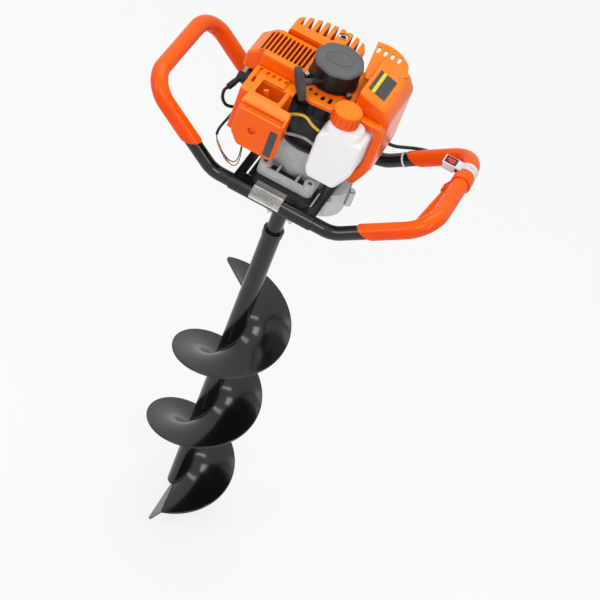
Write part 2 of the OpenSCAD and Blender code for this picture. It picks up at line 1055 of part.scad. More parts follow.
// Tall part under the grille, as Y and Z
function cover_tall(t) = [
    [-27 + t, cover_foot(t)],
    [-27 + t, filter_top - wall - t],
    [-22 + t, cover_top - t],
    [50 - t, cover_top - t],
    [58 - t, cover_top - 10 - t],
    [58 - t, cover_foot(t)]
];

// Low step in front of it, behind the air filter
function cover_step(t) = [
    [-56 + t, cover_foot(t)],
    [-56 + t, filter_top - wall - t],
    [-20, filter_top - wall - t],
    [-20, cover_foot(t)]
];

// Bulge at the left, behind the plug's boot
function cover_bulge(t) = [
    [-12 + t, cover_foot(t)],
    [-12 + t, cover_top - t],
    [50 - t, cover_top - t],
    [58 - t, cover_top - 10 - t],
    [58 - t, cover_foot(t)]
];

// Space over the bulge's slanted shoulder, as X and Z
function over_shoulder(t) = [
    [-152, 177 - 1.3 * t],
    [-124, cover_top - 1.3 * t],
    [-124, cover_top + 20],
    [-170, cover_top + 20],
    [-170, 177 - 1.3 * t]
];

// Tall part, step and bulge together
module cover_form(t) {
    along_x(-122 + t, -41 + (t > 0 ? 1 : 0))
        polygon(cover_tall(t));
    along_x(-121 + t, -41 + (t > 0 ? 1 : 0))
        polygon(cover_step(t));
    difference() {
        along_x(-150 + t, -120 + t)
            polygon(cover_bulge(t));
        along_y(-80, 80)
            polygon(over_shoulder(t));
    }
}

// Cover round the cylinder, open below and toward the fan
module cylinder_cover() {
    pitch = 84 / grille_slots;
    color(orange)
        head()
            difference() {
                union() {
                    difference() {
                        cover_form(0);
                        cover_form(wall);
                    }
                    difference() {
                        box([-132, -11, cover_top - 10], [-46, 47, cover_top - 1]);
                        along_y(-80, 80)
                            polygon(over_shoulder(0));
                    }
                }
                for (i = [0:grille_slots - 1])
                    box([-131 + pitch * i, -10, 180], [-131 + pitch * (i + 0.6), 46, 210]);
                box([-151, 12, 118], [-148.6, 22, 172]);
                bar_x(-160, -123, 17.5, plug_y, plug_z);
                bar_x(-130, -115, 12, plug_y, plug_z);
                box([port_x - 16, -60, crank_z - 16], [port_x + 16, -40, crank_z + 16]);
                bar_y(50, 60, 13, port_x, crank_z);
            }
}

// Slots in the lip in front of the starter: place of the rear end and length
fan_slots = [[-19, -44, 9], [-7, -48, 9], [6, -47, 14], [19, -44, 17], [32, -39, 20]];

// Roof over the fan, with a slotted front lip
module fan_housing() {
    color(orange)
        head()
            difference() {
                union() {
                    box([-41, -46, cover_top - wall], [54, 58, cover_top]);
                    translate([0, 0, cover_top - wall])
                        linear_extrude(wall)
                            polygon([[-41, -40], [-34, -46], [-18, -70], [-8, -75], [54, -65], [54, -40]]);
                    along_y(-60, -60 + wall)
                        polygon([[-20, 186], [54, 186], [54, cover_top], [-20, cover_top]]);
                    box([-41, 58 - wall, 160], [54, 58, cover_top]);
                    box([54 - wall, -46, 160], [54, 58, cover_top]);
                    ring_z(cover_top - eps, starter_z, starter_r - 3, starter_r + 2);
                    for (a = starter_lugs)
                        bar_z(cover_top - eps, starter_z, 6, lug_r * cos(a), lug_r * sin(a));
                }
                bar_z(190, 210, starter_r - 3);
                for (p = fan_slots)
                    box([p.x - 3, p.y - p.z, 190], [p.x + 3, p.y, 210]);
            }
}

// Tank cover, as X and Z
function tank_section(t) = [
    [56 + t, 92 - (t > 0 ? 10 : 0)],
    [56 + t, 240 - t],
    [62, 242 - t],
    [106 - t, 226 - t],
    [118 - t, 212 - t],
    [122 - t, 198 - t],
    [122 - t, 92 - (t > 0 ? 10 : 0)]
];

// Lower front of the cover, cut to the bottle's side
function tank_front() = [
    [56, 186],
    [56, 199.5],
    [112, 199.5],
    [122, 188],
    [122, 107],
    [106, 70],
    [93, 70],
    [91, 77],
    [104, 109],
    [107, 126],
    [107, 186]
];

// Room inside that lower front
function tank_front_room() = [
    [56 + wall, 60],
    [56 + wall, 199.5 - wall],
    [112 - wall, 199.5 - wall],
    [122 - wall, 188 - wall],
    [122 - wall, 107.5],
    [99, 60]
];

// Outline of the rear shelf, kept clear of the starter
module shelf_plan() {
    difference() {
        polygon(concat([[44, 8], [60, 8], [106, 60]], arc([50, 60], 54, 28, 112, 24)));
        circle(starter_r + 7);
    }
}

// Smooth cover over the tank, with a slotted rear overhang
module tank_cover() {
    color(orange)
        head()
            difference() {
                union() {
                    along_y(-44, 78)
                        polygon(tank_section(0));
                    along_y(-60, -43)
                        polygon(tank_front());
                    translate([0, 0, 226])
                        linear_extrude(3)
                            shelf_plan();
                }
                along_y(-44 + wall, 78 - wall)
                    polygon(tank_section(wall));
                along_y(-60 + wall, -40)
                    polygon(tank_front_room());
                box([50, -50, 60], [108, -40, 186]);
                for (i = [0:3])
                    box([36 + 13 * i, 82, 220], [42 + 13 * i, 99, 235]);
            }
}

// Main room of the tank, as X and Z
function tank_main(t) = [
    [60 + t, 74 + t],
    [60 + t, 194 - t],
    [104 - t, 194 - t],
    [118 - t, 178 - t],
    [118 - t, 108],
    [103.3 - t, 74 + t]
];

// Front view of the bottle, with a slanted lower corner
function bottle_front(t) = [
    [26 + t, 88],
    [32 + t, 77 + t],
    [40, 73 + t],
    [78, 73 + t],
    [88 - t, 78 + t],
    [102 - t, 110],
    [105 - t, 126],
    [105 - t, 168],
    [98 - t, 182 - t],
    [34 + t, 182 - t],
    [26 + t, 172]
];

module bottle(t) {
    intersection() {
        along_y(-102 + t, -50 - t)
            polygon(bottle_front(t));
        translate([0, 0, 60])
            linear_extrude(140)
                polygon(rounded(26 + t, -102 + t, 105 - t, -50 - t, 9 - t));
    }
}

// Blow-moulded tank: a bottle in front, joined to a body under the cover
module fuel_tank() {
    color([0.95, 0.95, 0.92])
        head()
            difference() {
                union() {
                    along_y(-52, 74)
                        polygon(tank_main(0));
                    bottle(0);
                    bar_z(181, 219, 17, 58, -84);
                }
                along_y(-50, 72)
                    polygon(tank_main(2));
                bottle(2);
                bar_z(170, 230, 13, 58, -84);
                box([66, -56, 90], [96, -46, 160]);
            }
}

module fuel_cap() {
    color(orange)
        head()
            translate([58, -84, 0])
                difference() {
                    union() {
                        bar_z(202, 227, 23.5);
                        for (i = [0:17])
                            rotate([0, 0, 20 * i])
                                box([22, -1.8, 203], [25, 1.8, 223]);
                    }
                    bar_z(200, 222, 17.8);
                }
}

module cap_seal() {
    color(black)
        head()
            ring_z(219.1, 221.6, 12, 17, 58, -84);
}

fuel_routes = [
    [[-50.8, -74, 128], [-46, -74, 129], [-34, -78, 154], [-8, -81, 170], [12, -84, 163], [24.6, -84, 159]],
    [[-50.8, -90, 112], [-46, -90, 112], [-28, -91, 126], [4, -88, 134], [25.2, -88, 131]]
];

module fuel_lines() {
    color([0.85, 0.75, 0.2])
        head()
            for (route = fuel_routes)
                cord(curve(route, 2), 2.6, 8);
}

// Recoil starter

module starter_housing() {
    color(black)
        head()
            difference() {
                union() {
                    bar_z(starter_z, starter_z + 4, starter_r + 2);
                    bar_z(starter_z, starter_z + 35, starter_r);
                    for (a = starter_lugs)
                        bar_z(starter_z, starter_z + 4, 6, lug_r * cos(a), lug_r * sin(a));
                    rotate([0, 0, pull_turn])
                        bar_x(20, guide_end, 6, rope_side, rope_z);
                }
                bar_z(starter_z - 1, starter_z + 40, starter_r - 2.5);
                rotate([0, 0, pull_turn])
                    bar_x(20, guide_end + 5, 2.8, rope_side, rope_z);
            }
}

// Cap with the fixed post that the pulley turns on
module starter_cap() {
    top = starter_z + 43;
    color([0.3, 0.31, 0.32])
        head()
            union() {
                rotate_extrude()
                    polygon([
                        [0, top - 8],
                        [starter_r + 2, top - 8],
                        [starter_r + 2, top - 3],
                        [starter_r - 2, top],
                        [0, top]
                    ]);
                bar_z(starter_z + 3, top - 7, 5);
            }
}

module starter_pulley() {
    color([0.85, 0.85, 0.8])
        head()
            difference() {
                union() {
                    bar_z(rope_z - 7, rope_z - 3.5, 35);
                    bar_z(rope_z - 4, rope_z + 4, 30);
                    bar_z(rope_z + 3.5, rope_z + 7, 35);
                    bar_z(starter_z + 3, rope_z - 6, 12);
                }
                bar_z(starter_z, rope_z + 20, 5 + run);
            }
}

// Flat return spring, drawn as a plain ring round the post
module starter_spring() {
    color(steel)
        head()
            ring_z(rope_z + 9, rope_z + 17, 14, 36);
}

// Leaf-shaped outline of two arcs, with blunt ends
function lens_outline(half, bulge) =
    let (r = (half * half + bulge * bulge) / (2 * bulge), a = asin(half / r) - 2)
    concat(arc([0, bulge - r], r, 90 - a, 90 + a, 12), arc([0, r - bulge], r, 270 - a, 270 + a, 12));

module starter_handle() {
    color([0.55, 0.56, 0.57])
        head()
            translate([0, 0, rope_z])
                rotate([0, 0, pull_turn])
                    translate([0, rope_side, 0])
                        union() {
                            bar_x(guide_end + 0.4, 76, 6);
                            along_x(72, 84)
                                rotate(-tee_tilt)
                                    polygon(lens_outline(30, 7));
                        }
}

module starter_rope() {
    color([0.9, 0.9, 0.88])
        head()
            translate([0, 0, rope_z])
                rotate([0, 0, pull_turn])
                    bar_x(31, guide_end + 0.4, 2.2, rope_side);
}

// Throttle lever and stop switch

module lever_place() {
    translate([handle_reach, 0, head_z + handle_rise])
        rotate([0, lever_roll, 0])
            children();
}

module throttle_bracket() {
    color(orange)
        lever_place()
            difference() {
                union() {
                    bar_y(20, 38, grip_r + 3);
                    for (z = [-8, 5])
                        box([-40, 20, z], [-12, 40, z + 3]);
                    bar_z(-10, 10, 3, lever_pivot.x, lever_pivot.y);
                }
                bar_y(10, 50, grip_r + run);
            }
}

module throttle_lever() {
    color(orange)
        lever_place()
            translate([lever_pivot.x, lever_pivot.y, 0])
                rotate([0, 0, -lever_rest])
                    difference() {
                        union() {
                            bar_z(-4.6, 4.6, 8);
                            box([-8, -lever_len, -4.6], [-2, 2, 4.6]);
                            bar_z(-4.6, 4.6, 5, -5, -lever_len);
                        }
                        bar_z(-20, 20, 3 + run);
                    }
}

cable_route = [
    [249, 42, 87], [249, 62, 85], [243, 88, 76], [226, 112, 60], [204, 127.5, 50],
    [184, 133, 52], [160, 128, 49], [126, 110, 46], [104, 100, 51], [80, 88, 55],
    [-70, 88, 42], [-96, 76, 40], [-101, 50, 40], [-94, -24, 48],
    [-88, -60, 62], [-70, -84, 76], [-58, -91, 88], [-57, -91, 101.5]
];

wire_route = [
    [-122, -44, 98], [-130, -62, 76], [-137, -75, 44], [-122, -77, 18],
    [-98, -77, 4], [-88, -77, 20], [-95, -70, 70], [-97, -63, 96]
];

// Throttle cable from the lever to the carburettor, and the looped stop wires
module control_cables() {
    color(black)
        head() {
            cord(curve(cable_route, 2), 3, 8);
            cord(curve(wire_route, 2), 1.6, 8);
        }
}

module switch_place() {
    translate([handle_reach, switch_y, head_z + handle_rise])
        children();
}

// Sheet strap round the bar, with the switch body on its inner side
module switch_mount() {
    color([0.93, 0.93, 0.92])
        switch_place()
            union() {
                difference() {
                    union() {
                        bar_y(-9, 9, grip_r + 1.5);
                        box([-46, -13, 8], [-6, 10, 10]);
                        box([-44, -12, -4], [-22, 10, 9]);
                    }
                    bar_y(-20, 20, grip_r + run);
                    box([-41, -8, 3], [-25, 6, 12]);
                }
                bar_y(-9, 7, 1.2, rocker_pivot.x, rocker_pivot.z);
            }
}

module switch_rocker() {
    color([0.8, 0.1, 0.08])
        switch_place()
            translate(rocker_pivot)
                rotate([0, 8, 0])
                    difference() {
                        along_y(-6, 6)
                            polygon([
                                [-6.5, 0.5],
                                [-2.5, -2.2],
                                [2.5, -2.2],
                                [6.5, 0.5],
                                [6.5, 4.5],
                                [0, 3.2],
                                [-6.5, 4.5]
                            ]);
                        bar_y(-10, 10, 1.2 + run);
                    }
}

left_handle_tube();
right_handle_tube();
handle_grips();
frame_tray();
fasteners();
clutch_housing();
gear_case_upper();
gear_case_lower();
bearings_and_seals();
clutch_drum();
idler_gear();
idler_pinion();
output_gear();
output_shaft();
auger_tube();
auger_flight();
cutter_blades();
pilot_drill();
bit_pin();
crankcase_lower();
crankcase_upper();
engine_cylinder();
piston();
connecting_rod();
crankshaft();
flywheel();
ignition_coil();
clutch_carrier();
clutch_shoe_left();
clutch_shoe_right();
spark_plug();
plug_boot();
ignition_lead();
muffler();
muffler_guard();
carburettor();
throttle_swivel();
primer_bulb();
air_filter_base();
air_filter_element();
air_filter_cover();
choke_lever();
cylinder_cover();
fan_housing();
tank_cover();
fuel_tank();
fuel_cap();
cap_seal();
fuel_lines();
starter_housing();
starter_cap();
starter_pulley();
starter_spring();
starter_handle();
starter_rope();
throttle_bracket();
throttle_lever();
control_cables();
switch_mount();
switch_rocker();
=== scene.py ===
import json
import math

import bmesh
import bpy
from mathutils import Matrix, Vector


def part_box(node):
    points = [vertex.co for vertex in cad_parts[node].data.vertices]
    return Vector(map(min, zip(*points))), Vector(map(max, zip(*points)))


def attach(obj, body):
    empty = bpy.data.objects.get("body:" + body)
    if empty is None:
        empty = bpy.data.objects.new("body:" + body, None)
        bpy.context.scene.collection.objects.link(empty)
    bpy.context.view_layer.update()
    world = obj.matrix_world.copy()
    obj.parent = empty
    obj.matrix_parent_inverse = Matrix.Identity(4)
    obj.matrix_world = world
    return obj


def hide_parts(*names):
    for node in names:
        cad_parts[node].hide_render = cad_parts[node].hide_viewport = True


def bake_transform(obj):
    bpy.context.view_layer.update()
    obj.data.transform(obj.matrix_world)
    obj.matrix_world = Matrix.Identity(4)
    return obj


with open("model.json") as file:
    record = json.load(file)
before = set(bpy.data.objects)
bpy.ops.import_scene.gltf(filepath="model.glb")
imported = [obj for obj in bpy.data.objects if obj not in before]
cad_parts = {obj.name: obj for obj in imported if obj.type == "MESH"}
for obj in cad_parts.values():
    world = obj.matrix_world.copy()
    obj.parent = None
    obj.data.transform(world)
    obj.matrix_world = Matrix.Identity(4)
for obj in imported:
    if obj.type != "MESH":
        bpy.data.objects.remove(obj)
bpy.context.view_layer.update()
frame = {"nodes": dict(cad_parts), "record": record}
nodes = frame["nodes"]

# Sizes. Places on the power head are in millimetres, with their height over the plane of the frame tubes.
MM = 0.001
TUBE_R = 12.5
SLEEVE_R = 15.0
FOOT_X = 115.0
HANDLE_X = 263.0
HANDLE_Z = 111.0
LEG_Y = 114.0
LOOP_BEND = 48.0
WALL = 2.5
COVER_TOP = 200.0
FILTER_TOP = 178.0
STARTER_Z = 203.0
STARTER_R = 41.0
NECK = (58.0, -84.0)
FILTER_SCREW = (-72.0, 128.0)
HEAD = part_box("left_handle_tube")[0].z + TUBE_R * MM


def head(x, y, z):
    """A place on the power head, in metres."""
    return Vector((x * MM, y * MM, HEAD + z * MM))


def srgb(red, green, blue):
    """A colour as it is seen on a screen, made linear for the shaders."""
    def linear(value):
        value = value / 255
        return value / 12.92 if value <= 0.04045 else ((value + 0.055) / 1.055) ** 2.4
    return (linear(red), linear(green), linear(blue), 1.0)


# Camera. Angles are in degrees, the distance in metres and places in the picture in pixels.

CAMERA_AZIMUTH = 10.0
CAMERA_ELEVATION = 40.6
CAMERA_ROLL = 21.4
CAMERA_DISTANCE = 4.1575
CAMERA_TARGET = Vector((0, 0, HEAD))
FOCAL_PX = 2430.8
IMAGE_PX = 600
TARGET_PX = (299.0, 165.3)
SENSOR_MM = 36.0


def picture_axes():
    """The picture's right and up directions, and the direction from the target to the camera."""
    azimuth = math.radians(CAMERA_AZIMUTH)
    elevation = math.radians(CAMERA_ELEVATION)
    roll = math.radians(CAMERA_ROLL)
    right = Vector((math.cos(azimuth), math.sin(azimuth), 0))
    back = Vector((
        math.sin(azimuth) * math.cos(elevation),
        -math.cos(azimuth) * math.cos(elevation),
        math.sin(elevation),
    ))
    up = back.cross(right)
    image_right = right * math.cos(roll) + up * math.sin(roll)
    image_up = up * math.cos(roll) - right * math.sin(roll)
    return image_right, image_up, back


def make_camera():
    """The photograph's camera, aimed at the middle of its frame and rolled about its axis."""
    image_right, image_up, back = picture_axes()
    middle = IMAGE_PX / 2
    aim = (
        image_right * (middle - TARGET_PX[0]) / FOCAL_PX
        - image_up * (middle - TARGET_PX[1]) / FOCAL_PX
        - back
    ).normalized()
    x_axis = (image_right - aim * image_right.dot(aim)).normalized()
    y_axis = x_axis.cross(aim)
    data = bpy.data.cameras.new("camera")
    data.sensor_width = SENSOR_MM
    data.lens = SENSOR_MM * FOCAL_PX / IMAGE_PX
    camera = bpy.data.objects.new("camera", data)
    turn = Matrix((x_axis, y_axis, -aim)).transposed()
    camera.matrix_world = Matrix.Translation(CAMERA_TARGET + back * CAMERA_DISTANCE) @ turn.to_4x4()
    bpy.context.collection.objects.link(camera)
    bpy.context.scene.camera = camera


# Studio, in metres. A lamp has a name, a place, a place to look at, a width and height, and its watts.

WHITE = (1, 1, 1, 1)
WORLD_LIGHT = 0.42
FLOOR_GREY = (0.92, 0.92, 0.92, 1)
FLOOR_GLOW = 0.8
FLOOR_SIZE = 30.0
FLOOR_DROP = 0.002
LAMPS = [
    ("top_light", (-0.4, 0.9, 3.7), (0, 0, 0.9), (2.4, 1.6), 32),
    ("front_light", (0.2, -1.9, 3.0), (0, 0, 0.6), (1.2, 0.9), 19),
    ("left_light", (-2.4, -2.0, 2.0), (0, 0, 0.7), (0.9, 2.2), 23),
    ("right_light", (2.4, -1.4, 2.0), (0, 0, 0.6), (0.5, 2.0), 16),
]


def math_node(tree, operation):
    """A node that does one sum."""
    node = tree.nodes.new("ShaderNodeMath")
    node.operation = operation
    return node


def seen_ray(tree):
    """One for rays that show the background: camera, glossy and transmission rays."""
    path = tree.nodes.new("ShaderNodeLightPath")
    first = math_node(tree, "MAXIMUM")
    second = math_node(tree, "MAXIMUM")
    tree.links.new(path.outputs["Is Camera Ray"], first.inputs[0])
    tree.links.new(path.outputs["Is Glossy Ray"], first.inputs[1])
    tree.links.new(first.outputs[0], second.inputs[0])
    tree.links.new(path.outputs["Is Transmission Ray"], second.inputs[1])
    return second.outputs[0]


def make_world():
    """White surroundings, which look brighter than the light that they give."""
    world = bpy.data.worlds.new("studio")
    world.use_nodes = True
    tree = world.node_tree
    background = tree.nodes["Background"]
    background.inputs["Color"].default_value = WHITE
    strength = tree.nodes.new("ShaderNodeMapRange")
    strength.inputs["To Min"].default_value = WORLD_LIGHT
    strength.inputs["To Max"].default_value = 1.0
    tree.links.new(seen_ray(tree), strength.inputs["Value"])
    tree.links.new(strength.outputs["Result"], background.inputs["Strength"])
    bpy.context.scene.world = world


def floor_material():
    """Matt grey, with a share of white glow for the rays that show it."""
    material = bpy.data.materials.new("floor")
    material.use_nodes = True
    tree = material.node_tree
    tree.nodes.remove(tree.nodes["Principled BSDF"])
    matt = tree.nodes.new("ShaderNodeBsdfDiffuse")
    matt.inputs["Color"].default_value = FLOOR_GREY
    glow = tree.nodes.new("ShaderNodeEmission")
    glow.inputs["Color"].default_value = WHITE
    share = math_node(tree, "MULTIPLY")
    share.inputs[1].default_value = FLOOR_GLOW
    mix = tree.nodes.new("ShaderNodeMixShader")
    tree.links.new(seen_ray(tree), share.inputs[0])
    tree.links.new(share.outputs[0], mix.inputs["Fac"])
    tree.links.new(matt.outputs[0], mix.inputs[1])
    tree.links.new(glow.outputs[0], mix.inputs[2])
    tree.links.new(mix.outputs[0], tree.nodes["Material Output"].inputs["Surface"])
    return material


def make_floor():
    """A pale floor that looks white and still takes a soft shadow."""
    half = FLOOR_SIZE / 2
    mesh = bpy.data.meshes.new("floor")
    corners = [(x, y, -FLOOR_DROP) for x, y in rectangle(-half, -half, half, half)]
    mesh.from_pydata(corners, [], [(0, 1, 2, 3)])
    floor = bpy.data.objects.new("floor", mesh)
    bpy.context.collection.objects.link(floor)
    mesh.materials.append(floor_material())


def make_lamp(name, place, aim, size, watts):
    """A rectangular soft light that looks at a place."""
    data = bpy.data.lights.new(name, "AREA")
    data.shape = "RECTANGLE"
    data.size, data.size_y = size
    data.energy = watts
    lamp = bpy.data.objects.new(name, data)
    lamp.location = place
    lamp.rotation_euler = (Vector(aim) - Vector(place)).to_track_quat("-Z", "Y").to_euler()
    bpy.context.collection.objects.link(lamp)


# Materials. Lengths in them are in metres.

PATCH_DETAIL = 4.0
FINE_DETAIL = 3.0
FINE_DEPTH = 0.0004
# Range of upward slope over which faces take the painted light.
TOP_LIGHT_SLOPE = (0.3, 0.95)
# Reach and range of the painted shade in hollows.
HOLLOW_REACH = 0.014
HOLLOW_RANGE = (0.15, 0.8)
CHIP_SCALE = 160.0
CHIP_DETAIL = 6.0
CHIP_EDGE = 0.04
COAT_ROUGH = 0.08
MILK_DEPTH = 0.004


def noise(tree, scale, octaves, stretch=(1, 1, 1)):
    """Noise in the object's own space, so that it moves with the piece."""
    place = tree.nodes.new("ShaderNodeTexCoord")
    mapping = tree.nodes.new("ShaderNodeMapping")
    mapping.inputs["Scale"].default_value = stretch
    texture = tree.nodes.new("ShaderNodeTexNoise")
    texture.inputs["Scale"].default_value = scale
    texture.inputs["Detail"].default_value = octaves
    tree.links.new(place.outputs["Object"], mapping.inputs["Vector"])
    tree.links.new(mapping.outputs["Vector"], texture.inputs["Vector"])
    return texture.outputs["Fac"]


def spread(tree, value, low, high, start=0.3, end=0.7):
    """Maps a value between start and end onto a range."""
    node = tree.nodes.new("ShaderNodeMapRange")
    node.inputs["From Min"].default_value = start
    node.inputs["From Max"].default_value = end
    node.inputs["To Min"].default_value = low
    node.inputs["To Max"].default_value = high
    tree.links.new(value, node.inputs["Value"])
    return node.outputs["Result"]


def mix_colour(tree, factor, first, second):
    """Mixes two colours, each a plain value or another node's output."""
    node = tree.nodes.new("ShaderNodeMix")
    node.data_type = "RGBA"
    tree.links.new(factor, node.inputs["Factor"])
    inputs = [s for s in node.inputs if s.type == "RGBA"]
    for socket, colour in zip(inputs, (first, second)):
        if isinstance(colour, tuple):
            socket.default_value = colour
        else:
            tree.links.new(colour, socket)
    return [s for s in node.outputs if s.type == "RGBA"][0]


def paint_light_shade_and_wear(tree, colour, more):
    """Lays painted light, painted shade and wear over a surface's own colour.

    painted_top_light: painted light, the colour of the faces that look up
    painted_hollow_shade: painted shade, the colour in the hollows
    wear: colour of the chips, which lie where the noise passes wear_from
    """
    # Painted light: faces that look up are mixed towards a paler, yellower colour.
    if "painted_top_light" in more:
        facing = tree.nodes.new("ShaderNodeTexCoord")
        parts = tree.nodes.new("ShaderNodeSeparateXYZ")
        tree.links.new(facing.outputs["Normal"], parts.inputs[0])
        upward = spread(tree, parts.outputs["Z"], 0.0, 1.0, *TOP_LIGHT_SLOPE)
        colour = mix_colour(tree, upward, colour, srgb(*more["painted_top_light"]))
    # Painted shade: hollows found by ambient occlusion are mixed towards a darker colour.
    if "painted_hollow_shade" in more:
        hollow = tree.nodes.new("ShaderNodeAmbientOcclusion")
        hollow.inputs["Distance"].default_value = HOLLOW_REACH
        exposed = spread(tree, hollow.outputs["AO"], 0.0, 1.0, *HOLLOW_RANGE)
        colour = mix_colour(tree, exposed, srgb(*more["painted_hollow_shade"]), colour)
    if "wear" in more:
        start = more["wear_from"]
        chips = spread(tree, noise(tree, CHIP_SCALE, CHIP_DETAIL), 0.0, 1.0, start, start + CHIP_EDGE)
        colour = mix_colour(tree, chips, colour, srgb(*more["wear"]))
    return colour


def surface(name, dark, light, rough, blotch, grain, relief, more):
    """A finished surface: uneven colour, uneven gloss and a fine relief.

    dark, light: the two ends of the colour's range
    rough: lowest and highest roughness
    blotch, grain: scale of the colour's and of the relief's noise
    relief: strength of the fine relief
    more: metallic, specular, coat, stretch and depth of the relief, subsurface, and the keys for painted
    light, painted shade and wear that are laid over the colour
    """
    material = bpy.data.materials.new(name)
    material.use_nodes = True
    tree = material.node_tree
    shader = tree.nodes["Principled BSDF"]
    patches = spread(tree, noise(tree, blotch, PATCH_DETAIL), 0.0, 1.0)
    colour = mix_colour(tree, patches, srgb(*dark), srgb(*light))
    tree.links.new(paint_light_shade_and_wear(tree, colour, more), shader.inputs["Base Color"])
    fine = noise(tree, grain, FINE_DETAIL, more.get("stretch", (1, 1, 1)))
    tree.links.new(spread(tree, fine, *rough), shader.inputs["Roughness"])
    bump = tree.nodes.new("ShaderNodeBump")
    bump.inputs["Strength"].default_value = relief
    bump.inputs["Distance"].default_value = more.get("depth", FINE_DEPTH)
    tree.links.new(fine, bump.inputs["Height"])
    tree.links.new(bump.outputs["Normal"], shader.inputs["Normal"])
    shader.inputs["Metallic"].default_value = more.get("metallic", 0.0)
    shader.inputs["Specular IOR Level"].default_value = more.get("specular", 0.5)
    shader.inputs["Coat Weight"].default_value = more.get("coat", 0.0)
    shader.inputs["Coat Roughness"].default_value = COAT_ROUGH
    if "subsurface" in more:
        shader.inputs["Subsurface Weight"].default_value = more["subsurface"]
        shader.inputs["Subsurface Radius"].default_value = (MILK_DEPTH, MILK_DEPTH, MILK_DEPTH)
        shader.inputs["Subsurface Scale"].default_value = 1.0
    return material


LOOKS = {
    # orange_plastic: its top colour is painted light on upward faces, and its hollow colour is painted shade.
    "orange_plastic": ((250, 92, 0), (255, 102, 4), (0.16, 0.26), 7, 1500, 0.03,
        {"specular": 0.25, "painted_top_light": (255, 138, 14), "painted_hollow_shade": (214, 40, 0)}),
    # orange_sleeve: its top colour is painted light on upward faces.
    "orange_sleeve": ((246, 74, 4), (253, 84, 8), (0.12, 0.2), 11, 700, 0.03,
        {"specular": 0.18, "painted_top_light": (255, 102, 4)}),
    "black_paint": ((8, 8, 9), (15, 15, 16), (0.12, 0.19), 14, 420, 0.015,
        {"wear": (60, 61, 63), "wear_from": 0.78}),
    # cast_alloy: its hollow colour is painted shade, a dark grey in the crevices.
    "cast_alloy": ((196, 198, 200), (216, 217, 218), (0.4, 0.58), 40, 1100, 0.4,
        {"metallic": 0.1, "painted_hollow_shade": (70, 70, 72)}),
    "dark_alloy": ((44, 45, 47), (66, 67, 69), (0.42, 0.62), 40, 900, 0.45, {"metallic": 0.4}),
    "steel": ((176, 177, 180), (206, 207, 209), (0.22, 0.4), 60, 1600, 0.15,
        {"metallic": 0.95, "stretch": (1, 1, 0.08)}),
    "blade": ((96, 97, 99), (128, 129, 131), (0.22, 0.36), 60, 1600, 0.15, {"metallic": 0.9}),
    "brass": ((214, 128, 30), (232, 150, 44), (0.3, 0.45), 30, 900, 0.1, {"metallic": 0.3}),
    "black_plastic": ((16, 16, 17), (26, 26, 27), (0.3, 0.44), 20, 1300, 0.2, {"specular": 0.3}),
    "grey_plastic": ((74, 76, 78), (92, 94, 96), (0.4, 0.56), 22, 1300, 0.3, {}),
    "handle_grey": ((46, 47, 49), (60, 61, 63), (0.28, 0.42), 22, 1300, 0.2, {}),
    "red_plastic": ((190, 24, 16), (214, 32, 20), (0.28, 0.4), 20, 1200, 0.1, {"coat": 0.3}),
    "tank_plastic": ((246, 247, 248), (252, 252, 253), (0.34, 0.48), 8, 500, 0.08, {"subsurface": 0.25}),
    "clear_plastic": ((214, 166, 34), (232, 188, 52), (0.25, 0.4), 30, 800, 0.1, {"coat": 0.3}),
    "grey_tube": ((120, 120, 116), (160, 160, 154), (0.25, 0.4), 30, 900, 0.1, {"coat": 0.3}),
    "rubber": ((20, 20, 21), (32, 32, 33), (0.45, 0.65), 30, 900, 0.25, {"specular": 0.35}),
    "wire_red": ((168, 26, 30), (196, 36, 38), (0.3, 0.45), 30, 900, 0.1, {}),
    "rope": ((196, 196, 190), (226, 226, 220), (0.7, 0.9), 300, 1600, 0.8, {}),
    "foam": ((52, 52, 46), (80, 80, 70), (0.9, 1.0), 200, 700, 1.0, {"depth": 0.001}),
    "friction": ((92, 72, 56), (122, 98, 78), (0.75, 0.95), 60, 700, 0.6, {}),
    "white_sheet": ((222, 223, 223), (238, 239, 239), (0.3, 0.46), 20, 800, 0.12, {}),
    "tie": ((232, 232, 230), (246, 246, 244), (0.35, 0.5), 30, 900, 0.1, {}),
    "plate_dark": ((52, 53, 55), (64, 65, 67), (0.3, 0.42), 20, 900, 0.1, {}),
    "plate_yellow": ((236, 214, 20), (248, 228, 40), (0.3, 0.42), 20, 900, 0.1, {}),
    "plate_silver": ((158, 156, 154), (180, 178, 176), (0.26, 0.4), 30, 1200, 0.04,
        {"metallic": 0.7, "stretch": (0.06, 1, 1)}),
}
MATERIALS = {name: surface(name, *look) for name, look in LOOKS.items()}

# CAD nodes that stay visible: their slots, the looks that differ from them, and their rounded edges

NODE_SLOTS = {row["node"]: row["material_slot"] for row in frame["record"]["subparts"]}
NODE_LOOKS = {
    "choke_lever": "orange_plastic",
    "cutter_blades": "blade",
    "starter_handle": "handle_grey",
    "throttle_bracket": "orange_sleeve",
    "throttle_lever": "orange_sleeve",
}
BEVELS = {
    "orange_plastic": 0.9,
    "cast_alloy": 1.2,
    "black_paint": 0.7,
    "black_plastic": 0.9,
    "grey_plastic": 1.2,
}
SMALL_BEVEL = 0.4
BEVEL_STEPS = 2
NODE_ANGLE = 35
PIECE_ANGLE = 40
WELD_REACH = 0.00001
PLAIN_NODES = ("left_handle_tube", "right_handle_tube")


def paint(obj, material):
    """Gives an object one material."""
    obj.data.materials.clear()
    obj.data.materials.append(MATERIALS[material])


def round_edges(obj, width, angle):
    """Rounds the edges sharper than an angle and evens the shading, without touching the mesh itself."""
    bevel = obj.modifiers.new("bevel", "BEVEL")
    bevel.width = width * MM
    bevel.segments = BEVEL_STEPS
    bevel.limit_method = "ANGLE"
    bevel.angle_limit = math.radians(angle)
    bevel.miter_outer = "MITER_ARC"
    normals = obj.modifiers.new("normals", "WEIGHTED_NORMAL")
    normals.keep_sharp = False


